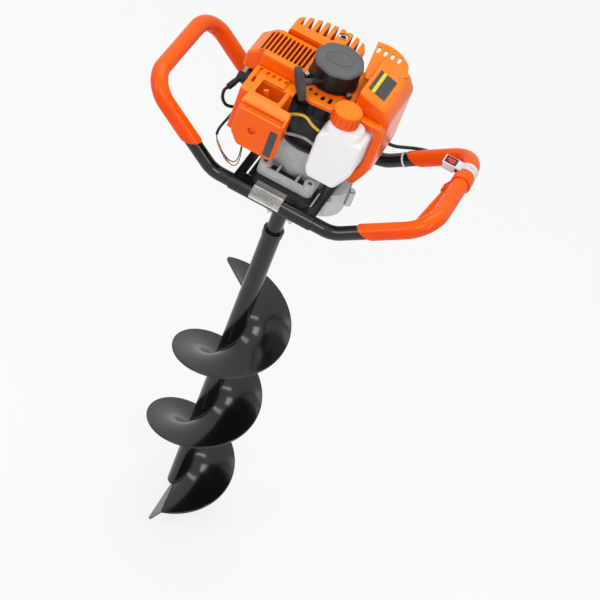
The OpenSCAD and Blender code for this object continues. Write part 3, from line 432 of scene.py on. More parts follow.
def dress_nodes():
    """Gives each CAD node its finish and rounded edges."""
    for name, obj in nodes.items():
        slot = NODE_SLOTS[name]
        paint(obj, NODE_LOOKS.get(name, slot))
        if name not in PLAIN_NODES:
            weld = obj.modifiers.new("weld", "WELD")
            weld.merge_threshold = WELD_REACH
            round_edges(obj, BEVELS.get(slot, SMALL_BEVEL), NODE_ANGLE)


# Outlines

SMOOTH_STEPS = 6


def polar(radius, angle):
    """A point at a distance from the middle, and at an angle in degrees."""
    return (radius * math.cos(math.radians(angle)), radius * math.sin(math.radians(angle)))


def arc(centre, radius, start, end, steps=SMOOTH_STEPS):
    """Points of a round corner, angles in degrees."""
    angles = [math.radians(start + (end - start) * i / steps) for i in range(steps + 1)]
    return [(centre[0] + radius * math.cos(a), centre[1] + radius * math.sin(a)) for a in angles]


def circle(centre, radius, points=48):
    """Points of a full circle."""
    return arc(centre, radius, 0, 360 - 360 / points, points - 1)


def rectangle(x0, y0, x1, y1):
    """A rectangle's outline."""
    return [(x0, y0), (x1, y0), (x1, y1), (x0, y1)]


def rounded(x0, y0, x1, y1, radius):
    """A rectangle's outline with round corners."""
    return (
        arc((x1 - radius, y1 - radius), radius, 0, 90)
        + arc((x0 + radius, y1 - radius), radius, 90, 180)
        + arc((x0 + radius, y0 + radius), radius, 180, 270)
        + arc((x1 - radius, y0 + radius), radius, 270, 360)
    )


def inset(outline, depth):
    """An outline drawn in towards its middle."""
    middle_x = (min(p[0] for p in outline) + max(p[0] for p in outline)) / 2
    middle_y = (min(p[1] for p in outline) + max(p[1] for p in outline)) / 2
    return [
        (x - math.copysign(depth, x - middle_x), y - math.copysign(depth, y - middle_y))
        for x, y in outline
    ]


# Lines

def curve(route, steps=10):
    """A smooth line through the places of a route on the head."""
    places = [head(*place) for place in [route[0]] + list(route) + [route[-1]]]
    line = []
    for a, b, c, d in zip(places, places[1:], places[2:], places[3:]):
        for i in range(steps):
            t = i / steps
            line.append(0.5 * (
                2 * b
                + (c - a) * t
                + (2 * a - 5 * b + 4 * c - d) * t ** 2
                + (3 * b - a - 3 * c + d) * t ** 3
            ))
    return line + [places[-1]]


def straight(start, end, steps=1):
    """A straight line between two places on the head."""
    a, b = head(*start), head(*end)
    return [a + (b - a) * i / steps for i in range(steps + 1)]


def bent_line(places, radius, steps=12):
    """A line through places on the head, with its square corners rounded."""
    points = [head(*place) for place in places]
    line = [points[0]]
    for before, corner, after in zip(points, points[1:], points[2:]):
        back = (before - corner).normalized() * radius * MM
        on = (after - corner).normalized() * radius * MM
        for i in range(steps + 1):
            angle = math.radians(90 * i / steps)
            line.append(corner + back * (1 - math.sin(angle)) + on * (1 - math.cos(angle)))
    return line + [points[-1]]


# Meshes

AXIS_PLACE = {
    "x": lambda u, v, w: (w, u, v),
    "y": lambda u, v, w: (u, w, v),
    "z": lambda u, v, w: (u, v, w),
}
FIRST_SIDE = Vector((0.31, 0.17, 0.93))
TUBE_ANGLE = 50


def add_object(name, bm):
    """Turns a bmesh into an object with smooth faces."""
    bmesh.ops.recalc_face_normals(bm, faces=bm.faces)
    mesh = bpy.data.meshes.new(name)
    bm.to_mesh(mesh)
    bm.free()
    mesh.polygons.foreach_set("use_smooth", [True] * len(mesh.polygons))
    obj = bpy.data.objects.new(name, mesh)
    bpy.context.collection.objects.link(obj)
    return obj


def skin(bm, rings, closed=False):
    """Joins rings of points into one closed skin, or into a closed loop."""
    count = len(rings[0])
    for low, high in zip(rings, rings[1:] + (rings[:1] if closed else [])):
        for i in range(count):
            j = (i + 1) % count
            bm.faces.new((low[i], low[j], high[j], high[i]))
    if not closed:
        bm.faces.new(rings[0])
        bm.faces.new(rings[-1])


def prism(name, axis, outline, low, high, radius=0.0, sharp_low=False, sharp_high=False):
    """An outline drawn out along an axis, with its edges rounded except at a sharp end."""
    bm = bmesh.new()
    place = AXIS_PLACE[axis]
    rings = [[bm.verts.new(head(*place(u, v, w))) for u, v in outline] for w in (low, high)]
    count = len(outline)
    bm.faces.new(rings[0])
    bm.faces.new(rings[1])
    for i in range(count):
        j = (i + 1) % count
        bm.faces.new((rings[0][i], rings[0][j], rings[1][j], rings[1][i]))
    bmesh.ops.recalc_face_normals(bm, faces=bm.faces)
    if radius:
        plain = set(rings[0] if sharp_low else []) | set(rings[1] if sharp_high else [])
        edges = [e for e in bm.edges if not (e.verts[0] in plain and e.verts[1] in plain)]
        bmesh.ops.bevel(bm, geom=edges, offset=radius * MM, segments=SMOOTH_STEPS, profile=0.5,
                        affect="EDGES", clamp_overlap=True)
    return add_object(name, bm)


def box(x0, y0, z0, x1, y1, z1, radius=0.0):
    """A block between two opposite corners."""
    return prism("box", "z", rectangle(x0, y0, x1, y1), z0, z1, radius)


def slot_z(x0, y0, x1, y1, z0, z1):
    """An upright slot with round ends."""
    radius = 0.49 * min(x1 - x0, y1 - y0)
    return prism("slot", "z", rounded(x0, y0, x1, y1, radius), z0, z1)


def round_plug(centre, radius, low, high):
    """A round upright plug, for joining or cutting."""
    return prism("plug", "z", circle(centre, radius), low, high)


def lathe(name, profile, centre=(0, 0), steps=64, lobes=0, depth=0.0):
    """A profile of radius and height turned about an upright axis, with shallow lobes if asked."""
    bm = bmesh.new()
    rings = []
    for radius, height in profile:
        ring = []
        for i in range(steps):
            angle = 2 * math.pi * i / steps
            reach = radius * (1 - depth * (1 - math.cos(lobes * angle)) / 2)
            ring.append(bm.verts.new(head(
                centre[0] + reach * math.cos(angle), centre[1] + reach * math.sin(angle), height)))
        rings.append(ring)
    skin(bm, rings, closed=True)
    return add_object(name, bm)


def rings_along(bm, line, radius, sides):
    """Rings of points round a line, kept from twisting."""
    side = FIRST_SIDE
    rings = []
    for i, point in enumerate(line):
        ahead = (line[min(i + 1, len(line) - 1)] - line[max(i - 1, 0)]).normalized()
        side = (side - ahead * side.dot(ahead)).normalized()
        over = ahead.cross(side)
        angles = [2 * math.pi * k / sides for k in range(sides)]
        rings.append([
            bm.verts.new(point + (side * math.cos(a) + over * math.sin(a)) * radius * MM) for a in angles
        ])
    return rings


def tube(name, line, radius, material, sides=16):
    """A round cord, wire, bead or collar along a line."""
    bm = bmesh.new()
    skin(bm, rings_along(bm, line, radius, sides))
    obj = add_object(name, bm)
    paint(obj, material)
    edges = obj.modifiers.new("edges", "EDGE_SPLIT")
    edges.split_angle = math.radians(TUBE_ANGLE)
    return obj


def combine(obj, others, operation="DIFFERENCE"):
    """Cuts the others out of an object, or joins them to it, and removes them."""
    for other in others:
        modifier = obj.modifiers.new("combine", "BOOLEAN")
        modifier.operation = operation
        modifier.solver = "EXACT"
        modifier.object = other
    bpy.context.view_layer.update()
    result = obj.evaluated_get(bpy.context.evaluated_depsgraph_get())
    mesh = bpy.data.meshes.new_from_object(result)
    obj.modifiers.clear()
    obj.data = mesh
    for other in others:
        bpy.data.objects.remove(other)
    mesh.polygons.foreach_set("use_smooth", [True] * len(mesh.polygons))
    return obj


def merge(objects):
    """Joins meshes that don't touch into the first of them."""
    bm = bmesh.new()
    for obj in objects:
        bm.from_mesh(obj.data)
    bm.to_mesh(objects[0].data)
    bm.free()
    for obj in objects[1:]:
        bpy.data.objects.remove(obj)
    return objects[0]


# Finishing of made pieces

def trim(obj, material, width=0.5):
    """Finishes a made piece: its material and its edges."""
    paint(obj, material)
    round_edges(obj, width, PIECE_ANGLE)
    return obj


def stand_for(obj, body, *names):
    """A made piece rides on a body, and takes the place of CAD nodes if any are named."""
    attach(obj, body)
    if names:
        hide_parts(*names)
    return obj


def detail(obj, material, width=0.2):
    """A small made piece that rides on the frame."""
    return stand_for(trim(obj, material, width), "frame")


def orange_cover(obj, node, width=0.5):
    """A finished orange cover in place of its CAD node."""
    stand_for(trim(obj, "orange_plastic", width), "frame", node)


# Cylinder cover. Here and below, a form holds what prism() or box() takes.

CYLINDER_X = (-122, -41)
COVER_Y = (-27, 58)
COVER_LEAN = 5.0
COVER_FOOT = 108.0
COVER_ROUND = 4.0
ROOM_FOOT = 90.0
ROOM_PAST = 20.0
STEP_Y = (-56, -18)
STEP_TOP = FILTER_TOP - WALL
STEP_IN = 1.0
BULGE = ("y", [(-150, 108), (-150, 177), (-124, 200), (-110, 200), (-110, 108)], -12, 58, 6)
BULGE_ROOM = ("y", [(-147.5, 90), (-147.5, 174), (-123, 196.5), (-112, 196.5), (-112, 90)], -9.5, 55.5)
SHOULDER = ("y", [(-152, 177), (-124, 200), (-124, 230), (-170, 230), (-170, 177)], -80, 80)
GRILLE_BARS = (-132, -11.5, COVER_TOP - 10, -46, 47.5, COVER_TOP - 1)
GRILLE_X = -131.0
GRILLE_Y = (-10, 46)
GRILLE_CUT = (170, 215)
GRILLE_SLOTS = 11
GRILLE_PITCH = 84.0 / GRILLE_SLOTS
GRILLE_OPEN = 0.62
SIDE_GROOVE = ("x", rounded(12, 118, 22, 172, 4.9), -152, -148.6)
PLUG_AT = (-14, 132)
PLUG_HOLE = ("x", circle(PLUG_AT, 12), -130, -115)
BOOT_ROOM = ("x", circle(PLUG_AT, 17.5), -165, -123)
INTAKE_PORT = (-88, -70, 102, -56, -45, 134)
EXHAUST_PORT = (-86, 48, 104, -58, 70, 132)


def cover_tall(t, foot):
    """Side outline of the tall part, drawn in by t."""
    front, back = COVER_Y
    return [
        (front + t, foot),
        (front + t, STEP_TOP - t),
        (front + COVER_LEAN + t, COVER_TOP - t),
        (back - t, COVER_TOP - t),
        (back - t, foot),
    ]


def cover_step(t, foot):
    """Side outline of the low step in front, drawn in by t."""
    front, back = STEP_Y
    return [(front + t, foot), (front + t, STEP_TOP - t), (back, STEP_TOP - t), (back, foot)]


def cover_shell():
    """The tall part, the low step in front of it and the bulge at the left, hollowed out."""
    left, right = CYLINDER_X
    cover = prism("cylinder_shell", "x", cover_tall(0, COVER_FOOT), left, right, COVER_ROUND, sharp_high=True)
    step = prism("step", "x", cover_step(0, COVER_FOOT), left + STEP_IN, right, COVER_ROUND, sharp_high=True)
    combine(cover, [step, prism("bulge", *BULGE)], "UNION")
    rooms = [
        prism("room", "x", cover_tall(WALL, ROOM_FOOT), left + WALL, right + ROOM_PAST),
        prism("room", "x", cover_step(WALL, ROOM_FOOT), left + STEP_IN + WALL, right + ROOM_PAST),
        prism("room", *BULGE_ROOM),
    ]
    return combine(cover, rooms)


def grille_slots():
    """The slots in the cover's roof, as one cutter."""
    return merge([
        slot_z(GRILLE_X + GRILLE_PITCH * i, GRILLE_Y[0],
               GRILLE_X + GRILLE_PITCH * (i + GRILLE_OPEN), GRILLE_Y[1], *GRILLE_CUT)
        for i in range(GRILLE_SLOTS)
    ])


def make_cylinder_cover():
    """The cover with its grille, the spark plug's hollow and the engine's two ports."""
    cover = cover_shell()
    bars = box(*GRILLE_BARS)
    combine(bars, [prism("shoulder", *SHOULDER)])
    combine(cover, [bars], "UNION")
    hollows = [prism("hollow", *form) for form in (SIDE_GROOVE, BOOT_ROOM, PLUG_HOLE)]
    ports = [box(*INTAKE_PORT), box(*EXHAUST_PORT)]
    combine(cover, [grille_slots()] + hollows + ports)
    orange_cover(cover, "cylinder_cover")


# Fan housing. Each slot has its place across, its rear end and its length.

FAN_PLAN = [(-41, 58), (-41, -40), (-34, -47), (-18, -70), (-8, -75), (54, -69), (54, 58)]
LIP_Z = 193.0
FAN_ROOF = ("z", FAN_PLAN, LIP_Z, COVER_TOP, 3)
FAN_ROOM = ("z", inset(FAN_PLAN, WALL), 170, COVER_TOP - WALL, 2)
ROOF_CUT = (190, 210)
FAN_SLOTS = [(-19, -44, 9), (-7, -48, 9), (6, -47, 14), (19, -44, 17), (32, -39, 20)]
FAN_SLOT_HALF = 3.2
STARTER_BORE = STARTER_R - 3
LUG_ANGLES = (90, 216, 326)
LUG_AWAY = STARTER_R + 6
LUG_R = 6.0
LUG_FOOT = COVER_TOP - 1


def make_fan_housing():
    """The roof over the fan, with slots at its front and a raised seat for the starter."""
    roof = prism("fan_shell", *FAN_ROOF, sharp_low=True)
    inside = prism("inside", *FAN_ROOM, sharp_low=True)
    hole = round_plug((0, 0), STARTER_BORE, *ROOF_CUT)
    slots = [
        slot_z(x - FAN_SLOT_HALF, y - size, x + FAN_SLOT_HALF, y, *ROOF_CUT) for x, y, size in FAN_SLOTS
    ]
    combine(roof, [inside, hole, merge(slots)])
    seat = lathe("ring", [
        (STARTER_BORE, LUG_FOOT),
        (STARTER_R + 2.5, LUG_FOOT),
        (STARTER_R + 2, STARTER_Z),
        (STARTER_BORE, STARTER_Z),
    ])
    lugs = [round_plug(polar(LUG_AWAY, angle), LUG_R, LUG_FOOT, STARTER_Z) for angle in LUG_ANGLES]
    combine(roof, [seat] + lugs, "UNION")
    orange_cover(roof, "fan_housing")


# Fan shroud. Each tab has its angle and its foot.

SHROUD_R = 49.0
SHROUD_PLAN = arc((0, 0), SHROUD_R + WALL, 215, 345, 40) + arc((0, 0), SHROUD_R, 345, 215, 40)
SHROUD = ("z", SHROUD_PLAN, 150, LIP_Z)
TABS = ((240, 166), (262, 156), (284, 166), (306, 156))
TAB_HALF = 6.0
TAB_DEPTH = 7.0
TAB_TALL = 20.0
TAB_ROUND = 1.5
BOLT_R = 3.2
BOLT_SUNK = 0.2
BOLT_TALL = 2.5


def make_shroud():
    """Dark shroud round the front of the fan, under the lip, with its tabs and their bolts."""
    shroud = prism("shroud", *SHROUD)
    tabs = []
    for angle, foot in TABS:
        x, y = polar(SHROUD_R, angle)
        top = foot + TAB_TALL
        tabs.append(box(x - TAB_HALF, y - TAB_DEPTH, foot, x + TAB_HALF, y, top, TAB_ROUND))
        hexagon = circle((x, y - TAB_DEPTH / 2), BOLT_R, 6)
        bolt = prism("lug_bolt", "z", hexagon, top - BOLT_SUNK, top + BOLT_TALL)
        detail(bolt, "dark_alloy")
    combine(shroud, tabs, "UNION")
    detail(shroud, "black_plastic", width=0.8)


# Tank cover

RIDGE = (56, 241)
BROW = (107, 226)
TANK_SHELL = ("y", [(56, 92), RIDGE, BROW, (122, 203), (122, 92)], -44, 78, 8)
SHELL_ROOM = ("y", [(58.5, 70), (58.5, 238), (105, 223.5), (119.5, 202), (119.5, 70)], -41.5, 75.5, 5)
LEDGE = ("y", [
    (56, 186), (56, 199.5), (113, 199.5), (122, 188), (122, 107), (106, 70),
    (93, 70), (91, 77), (104, 109), (107, 126), (107, 186),
], -60, -38, 2.5)
LEDGE_ROOM = ("y", [(58.5, 60), (58.5, 197), (111, 197), (119.5, 187), (119.5, 107.5), (99, 60)], -57.5, -38)
TANK_CORNER = 13.0
TANK_PLAN = ("z", rounded(20, -60, 122, 78, TANK_CORNER), 60, 250)
INNER_PLAN = ("z", rounded(20, -57.5, 119.5, 76, TANK_CORNER - WALL), 50, 250)
BOTTLE_WAY = (50, -50, 60, 108, -40, 186)
SHELF = ("z", [(44, 8), (60, 8), (106, 60)] + arc((50, 60), 54, 28, 112, 24), 226, 229)
SHELF_GAP = ("z", circle((0, 0), STARTER_R + 7), 220, 240)
SHELF_SLOTS = [36 + 13 * i for i in range(4)]
SHELF_SLOT_WIDE = 6
SHELF_SLOT_Y = (82, 100)
SHELF_SLOT_Z = (215, 235)


def tank_rooms():
    """The cover's inside, the ledge's inside and the way for the bottle's rear half."""
    under = prism("under", *LEDGE_ROOM)
    combine(under, [prism("plan", *INNER_PLAN)], "INTERSECT")
    return [prism("inside", *SHELL_ROOM), under, box(*BOTTLE_WAY)]


def make_tank_cover():
    """The tall cover round the tank, with the slotted shelf behind the starter."""
    cover = prism("tank_shell", *TANK_SHELL)
    combine(cover, [prism("ledge", *LEDGE, sharp_high=True)], "UNION")
    combine(cover, [prism("plan", *TANK_PLAN)], "INTERSECT")
    shelf = prism("shelf", *SHELF)
    combine(shelf, [prism("gap", *SHELF_GAP)])
    combine(cover, [shelf], "UNION")
    slots = [
        slot_z(x, SHELF_SLOT_Y[0], x + SHELF_SLOT_WIDE, SHELF_SLOT_Y[1], *SHELF_SLOT_Z) for x in SHELF_SLOTS
    ]
    combine(cover, tank_rooms() + [merge(slots)])
    orange_cover(cover, "tank_cover", 0.8)


# Muffler guard

GUARD_X = (-110, 18)
GUARD_FACE = 58.0
GUARD_SPARE = 10.0
GUARD_FOOT = 88.0
GUARD_TOP = 209.0
GUARD_ROUND = 6.0
GUARD_MOUTH = (GUARD_X[0] + WALL, 40, GUARD_FOOT + WALL, GUARD_X[1] - WALL, 62, 194)
GUARD_FRONT = (-130, 40, 80, 40, GUARD_FACE + 0.01, 230)
GUARD_SLOTS = [-100 + 14 * i for i in range(8)]
GUARD_SLOT_WIDE = 7
SHORT_SLOT = GUARD_SLOTS[5]
COMB_Y = (80, 150)
COMB_SHORT_Y = (118, 150)
COMB_CUT = (176, 220)
VENT_Z = (106, 164)
VENT_ROUND = 3.4
VENT_CUT = (90, 150)
LOUVRES = [112 + 13 * i for i in range(6)]
LOUVRE_Y = (68, 92)
LOUVRE_TALL = 6
LOUVRE_ROUND = 2.9
LOUVRE_CUT = (-120, -104)
OUTLET = ("z", circle((-27, 104), 9), 190, 230)


def guard_plan(t, front):
    """Outline from above, drawn in by t."""
    left, right = GUARD_X
    return [
        (left + t, front),
        (left + t, 99 - t),
        (left + 15 + t, 112 - t),
        (-68, 122 - t),
        (-42, 126 - t),
        (-12, 125 - t),
        (right - 9 - t, 117 - t),
        (right - t, 98 - t),
        (right - t, front),
    ]


def guard_openings():
    """The comb of slots in the roof, the vents in the back and the louvres at the left."""
    comb = []
    vents = []
    for x in GUARD_SLOTS:
        start, end = COMB_SHORT_Y if x == SHORT_SLOT else COMB_Y
        comb.append(slot_z(x, start, x + GUARD_SLOT_WIDE, end, *COMB_CUT))
        vent = rounded(x, VENT_Z[0], x + GUARD_SLOT_WIDE, VENT_Z[1], VENT_ROUND)
        vents.append(prism("vent", "y", vent, *VENT_CUT))
    louvres = []
    for z in LOUVRES:
        louvre = rounded(LOUVRE_Y[0], z, LOUVRE_Y[1], z + LOUVRE_TALL, LOUVRE_ROUND)
        louvres.append(prism("louvre", "x", louvre, *LOUVRE_CUT))
    return [merge(comb), merge(vents), merge(louvres)]


def make_muffler_guard():
    """The slotted cage behind the cylinder, open towards it, with a hole for the outlet."""
    outside = guard_plan(0, GUARD_FACE - GUARD_SPARE)
    guard = prism("guard_shell", "z", outside, GUARD_FOOT, GUARD_TOP, GUARD_ROUND)
    inside = prism("inside", "z", guard_plan(WALL, GUARD_FACE + WALL), GUARD_FOOT + WALL, GUARD_TOP - WALL)
    ends = [prism("outlet", *OUTLET), box(*GUARD_FRONT)]
    combine(guard, [inside, box(*GUARD_MOUTH)] + guard_openings() + ends)
    orange_cover(guard, "muffler_guard")


# Air filter base

FILTER_LEFT = -121.0
FILTER_RIGHT = -44.0
FILTER_FRONT = -101.0
FILTER_BASE = ("z", rectangle(FILTER_LEFT, FILTER_FRONT, FILTER_RIGHT, -56), 90, FILTER_TOP, 4)
FILTER_TAIL = (FILTER_LEFT, -70, FILTER_TOP - WALL, FILTER_RIGHT - 16, -27, FILTER_TOP, 1)
FILTER_ROOM = (FILTER_LEFT + WALL, FILTER_FRONT + WALL, 70, FILTER_RIGHT + 20, -40, FILTER_TOP - WALL)
FILTER_CUT = (160, 190)
CHOKE_WINDOW = ("z", rounded(-97, -94.5, -53, -55, 4), *FILTER_CUT)
PORTS = [-100 + 11.3 * i for i in range(4)]
PORT_WIDE = 5
PORT_Y = (-43, -33)
LONG_PORT = (-113.5, -75, -108.5, -31)
SIDE_SLOTS = [106 + 22 * i for i in range(3)]
SIDE_SLOT_Y = (-94, -64)
SIDE_SLOT_TALL = 7
SIDE_SLOT_ROUND = 3.4
SIDE_SLOT_CUT = (FILTER_LEFT - 10, FILTER_LEFT + 10)
INTAKE = ("y", circle((-72, 118), 7, 24), -110, -90)
CHOKE_POST = ("y", circle((-74, 160), 3, 24), -99.5, -76)


def filter_openings():
    """The choke's window, the ports behind and beside it, the slots at the left and the intake."""
    ports = [slot_z(x, PORT_Y[0], x + PORT_WIDE, PORT_Y[1], *FILTER_CUT) for x in PORTS]
    ports.append(slot_z(*LONG_PORT, *FILTER_CUT))
    sides = []
    for z in SIDE_SLOTS:
        side = rounded(SIDE_SLOT_Y[0], z, SIDE_SLOT_Y[1], z + SIDE_SLOT_TALL, SIDE_SLOT_ROUND)
        sides.append(prism("side", "x", side, *SIDE_SLOT_CUT))
    return [prism("window", *CHOKE_WINDOW), merge(ports), merge(sides), prism("intake", *INTAKE)]


def make_filter_base():
    """The box behind the filter's lid, with its flat tail over the cylinder cover and the choke's post."""
    base = prism("filter_shell", *FILTER_BASE, sharp_low=True)
    combine(base, [box(*FILTER_TAIL)], "UNION")
    combine(base, [box(*FILTER_ROOM)] + filter_openings())
    combine(base, [prism("post", *CHOKE_POST)], "UNION")
    orange_cover(base, "air_filter_base")


# Air filter lid

LID_X = (-107, -23)
LID_Y = (-128, -101)
LID_ROUND = 6.0
LID_FOOT = 86.0
LID_CORNER = (16, 22)
LID_SLOPE = ("x", [(-140, 143), (-117, 173), (-95, 181), (-95, 200), (-140, 200)], -127, -3)
LID_GROOVE = ("x", circle((-122.5, 166.5), 4, 24), LID_X[0] - 8, LID_X[1] - 5, 1.5)
LID_RIBS = ((-117.2, 170.8), (-125.0, 160.0))
LID_RIB_R = 3.6
LID_RIB_X = (LID_X[0] + 6, LID_X[1] - 5)
LID_RIB_ROUND = 1.5
LID_ROOM_TOP = 155.0
LID_ROOM_Y = (-125.5, -90)
LID_POST = ("y", circle(FILTER_SCREW, 9, 24), -130, -104)
LID_RECESS = ("y", circle(FILTER_SCREW, 7), -140, -117)


def lid_room():
    """The lid's inside, with the screw's post left standing."""
    left, right = LID_X
    outline = [
        (left + WALL, LID_FOOT + 24),
        (left + 18, LID_FOOT + WALL),
        (right - WALL, LID_FOOT + WALL),
        (right - WALL, LID_ROOM_TOP),
        (left + WALL, LID_ROOM_TOP),
    ]
    room = prism("inside", "y", outline, *LID_ROOM_Y)
    return combine(room, [prism("post", *LID_POST)])


def make_filter_lid():
    """The lid with a cut corner, a sloping top with ribs and a groove, and the screw's recess."""
    left, right = LID_X
    across, up = LID_CORNER
    front = [
        (left, LID_FOOT + up), (left + across, LID_FOOT), (right, LID_FOOT),
        (right, FILTER_TOP), (left, FILTER_TOP),
    ]
    lid = prism("filter_lid", "y", front, *LID_Y, LID_ROUND, sharp_high=True)
    combine(lid, [prism("slope", *LID_SLOPE)])
    combine(lid, [prism("groove", *LID_GROOVE)])
    ribs = [prism("rib", "x", circle(at, LID_RIB_R, 24), *LID_RIB_X, LID_RIB_ROUND) for at in LID_RIBS]
    combine(lid, ribs, "UNION")
    combine(lid, [lid_room(), prism("recess", *LID_RECESS)])
    orange_cover(lid, "air_filter_cover", 1.2)


# Fuel tank

BOTTLE = ("y", [
    (26, 90), (33, 73), (84, 73), (101, 108), (105, 126), (105, 182), (42, 182), (26, 164),
], -102, -50, 8)
BOTTLE_DOME = (34, -101.5, 160, 96, -56, 200, 16)
TANK_BODY = ("y", [(60, 74), (103, 74), (118, 108), (118, 178), (104, 194), (60, 194)], -52, 74, 5)
NECK_PROFILE = [(13, 178), (17, 178), (17, 196), (16.2, 198), (16.2, 219), (13, 219)]


def make_tank():
    """The milky bottle at the front with its domed shoulder and neck, and the body behind it."""
    bottle = prism("milky_tank", *BOTTLE)
    combine(bottle, [prism("body", *TANK_BODY), box(*BOTTLE_DOME)], "UNION")
    combine(bottle, [lathe("neck", NECK_PROFILE, NECK)], "UNION")
    trim(bottle, "tank_plastic", 1.0)
    stand_for(bottle, "frame", "fuel_tank")


# Bit. Lengths are in metres and heights count from the floor. Angles are in degrees.

FLIGHT_R = 0.100
FLIGHT_PITCH = 0.200
FLIGHT_T = 0.005
FLIGHT_FOOT = 0.045
FLIGHT_START = -82.0
FLIGHT_TURN = 942.0
FLIGHT_CORNER = 0.010
FLIGHT_BLUNT = 0.0012
FLIGHT_STEP = 3.0
FLIGHT_ACROSS = 10
BIT_TUBE_R = 0.0175
ROOT_SUNK = 0.001
WELD_AWAY = 0.0006
WELD_R = 2.0


def flight_section():
    """The sheet's cross-section as radius and height: out over its top, round the rim and back under it."""
    inner = BIT_TUBE_R - ROOT_SUNK
    span = FLIGHT_R - inner
    half = FLIGHT_T / 2
    blunt = FLIGHT_BLUNT
    radii = [inner + span * i / FLIGHT_ACROSS for i in range(FLIGHT_ACROSS)]
    flat = FLIGHT_R - blunt
    rim = [(flat, half), (FLIGHT_R, half - blunt), (FLIGHT_R, blunt - half), (flat, -half)]
    return [(radius, half) for radius in radii] + rim + [(radius, -half) for radius in reversed(radii)]


def make_flight():
    """The helical sheet, one closed skin with a blunted rim and a rounded corner at its upper end."""
    bm = bmesh.new()
    section = flight_section()
    steps = int(FLIGHT_TURN / FLIGHT_STEP)
    corner = math.degrees(FLIGHT_CORNER / FLIGHT_R)
    turns = [(FLIGHT_TURN - corner) * i / steps for i in range(steps)]
    turns += [FLIGHT_TURN - corner * (1 - i / SMOOTH_STEPS) for i in range(SMOOTH_STEPS + 1)]
    rings = []
    for turn in turns:
        angle = math.radians(FLIGHT_START + turn)
        rise = FLIGHT_FOOT + FLIGHT_T / 2 + FLIGHT_PITCH * turn / 360
        past = max(0.0, 1 - (FLIGHT_TURN - turn) / corner)
        shrink = 1 - FLIGHT_CORNER * (1 - math.sqrt(1 - past * past)) / FLIGHT_R
        rings.append([
            bm.verts.new((r * shrink * math.cos(angle), r * shrink * math.sin(angle), rise + h))
            for r, h in section
        ])
    skin(bm, rings)
    flight = add_object("flight_sheet", bm)
    trim(flight, "black_paint", 0.5)
    stand_for(flight, "bit", "auger_flight")


def make_weld():
    """The bead that joins the flight to the tube, on its upper side."""
    reach = BIT_TUBE_R + WELD_AWAY
    line = []
    for i in range(int(FLIGHT_TURN / FLIGHT_STEP)):
        turn = FLIGHT_STEP * i
        angle = math.radians(FLIGHT_START + turn)
        rise = FLIGHT_FOOT + FLIGHT_T + FLIGHT_PITCH * turn / 360
        line.append(Vector((reach * math.cos(angle), reach * math.sin(angle), rise)))
    stand_for(tube("weld", line, WELD_R, "black_paint", 10), "bit")


# Handle sleeves. A leg rises by LEG_RISE for each LEG_RUN, and the two make a unit step along it.

SLEEVE_START = 65.0
SLEEVE_SLANT = 0.85
SLEEVE_CLEAR = 0.1
SLEEVE_SIDES = 32
LEG_RUN = 0.8
LEG_RISE = 0.6


def make_sleeve(side):
    """A moulded sleeve over one loop, with slanted ends that reach further along the top."""
    foot_x = side * (FOOT_X + LEG_RUN * SLEEVE_START)
    foot_z = LEG_RISE * SLEEVE_START
    line = bent_line([
        (foot_x, -LEG_Y, foot_z),
        (side * HANDLE_X, -LEG_Y, HANDLE_Z),
        (side * HANDLE_X, LEG_Y, HANDLE_Z),
        (foot_x, LEG_Y, foot_z),
    ], LOOP_BEND)
    leg = Vector((side * LEG_RUN, 0, LEG_RISE))
    top = Vector((-side * LEG_RISE, 0, LEG_RUN))
    bm = bmesh.new()
    outer = rings_along(bm, line, SLEEVE_R, SLEEVE_SIDES)
    inner = rings_along(bm, line, TUBE_R + SLEEVE_CLEAR, SLEEVE_SIDES)
    for rings in (outer, inner):
        for end in (0, -1):
            for point in rings[end]:
                point.co -= leg * SLEEVE_SLANT * (point.co - line[end]).dot(top)
    skin(bm, outer + inner[::-1], closed=True)
    sleeve = add_object("sleeve", bm)
    return trim(sleeve, "orange_sleeve", 0.8)


def make_sleeves():
    """Both sleeves, which are one CAD node."""
    stand_for(make_sleeve(1), "frame", "handle_grips")
    stand_for(make_sleeve(-1), "frame")


# Cords, along the same routes as in the part

CABLE_R = 3.0
CABLE_ROUTE = [
    (249, 42, 87), (249, 62, 85), (243, 88, 76), (226, 112, 60), (204, 127.5, 50), (184, 133, 52),
    (160, 128, 49), (126, 110, 46), (104, 100, 51), (80, 88, 55), (-70, 88, 42), (-96, 76, 40),
    (-101, 50, 40), (-94, -24, 48), (-88, -60, 62), (-70, -84, 76), (-58, -91, 88), (-57, -91, 101.5),
]
WIRE_ROUTE = [
    (-122, -44, 98), (-130, -62, 76), (-137, -75, 44), (-122, -77, 18),
    (-98, -77, 4), (-88, -77, 20), (-95, -70, 70), (-97, -63, 96),
]
WIRE_SLEEVE_R = 2.3
WIRE_SLEEVE_END = 21
WIRE_R = 0.9
WIRE_SIDES = 8
WIRE_APART = Vector((3.0, 0, -7.0)) * MM
LEAD_R = 2.8
LEAD_ROUTE = [
    (-152.2, -46.4, 118.8), (-155, -53, 114.5), (-152, -57, 102), (-143, -54, 90),
    (-131, -44, 86), (-121, -33, 90), (-111.2, -24, 98),
]
FUEL_R = 2.6
FUEL_ROUTE = [
    (-50.8, -74, 128), (-46, -74, 129), (-34, -78, 154), (-8, -81, 170), (12, -84, 163), (24.6, -84, 159),
]
RETURN_ROUTE = [(-50.8, -90, 112), (-46, -90, 112), (-28, -91, 126), (4, -88, 134), (25.2, -88, 131)]
ROPE_R = 2.2
ROPE_START = (-6.6, -33.8, 219)
ROPE_END = (-23.04, -55.72, 219)
ROPE_RINGS = 60


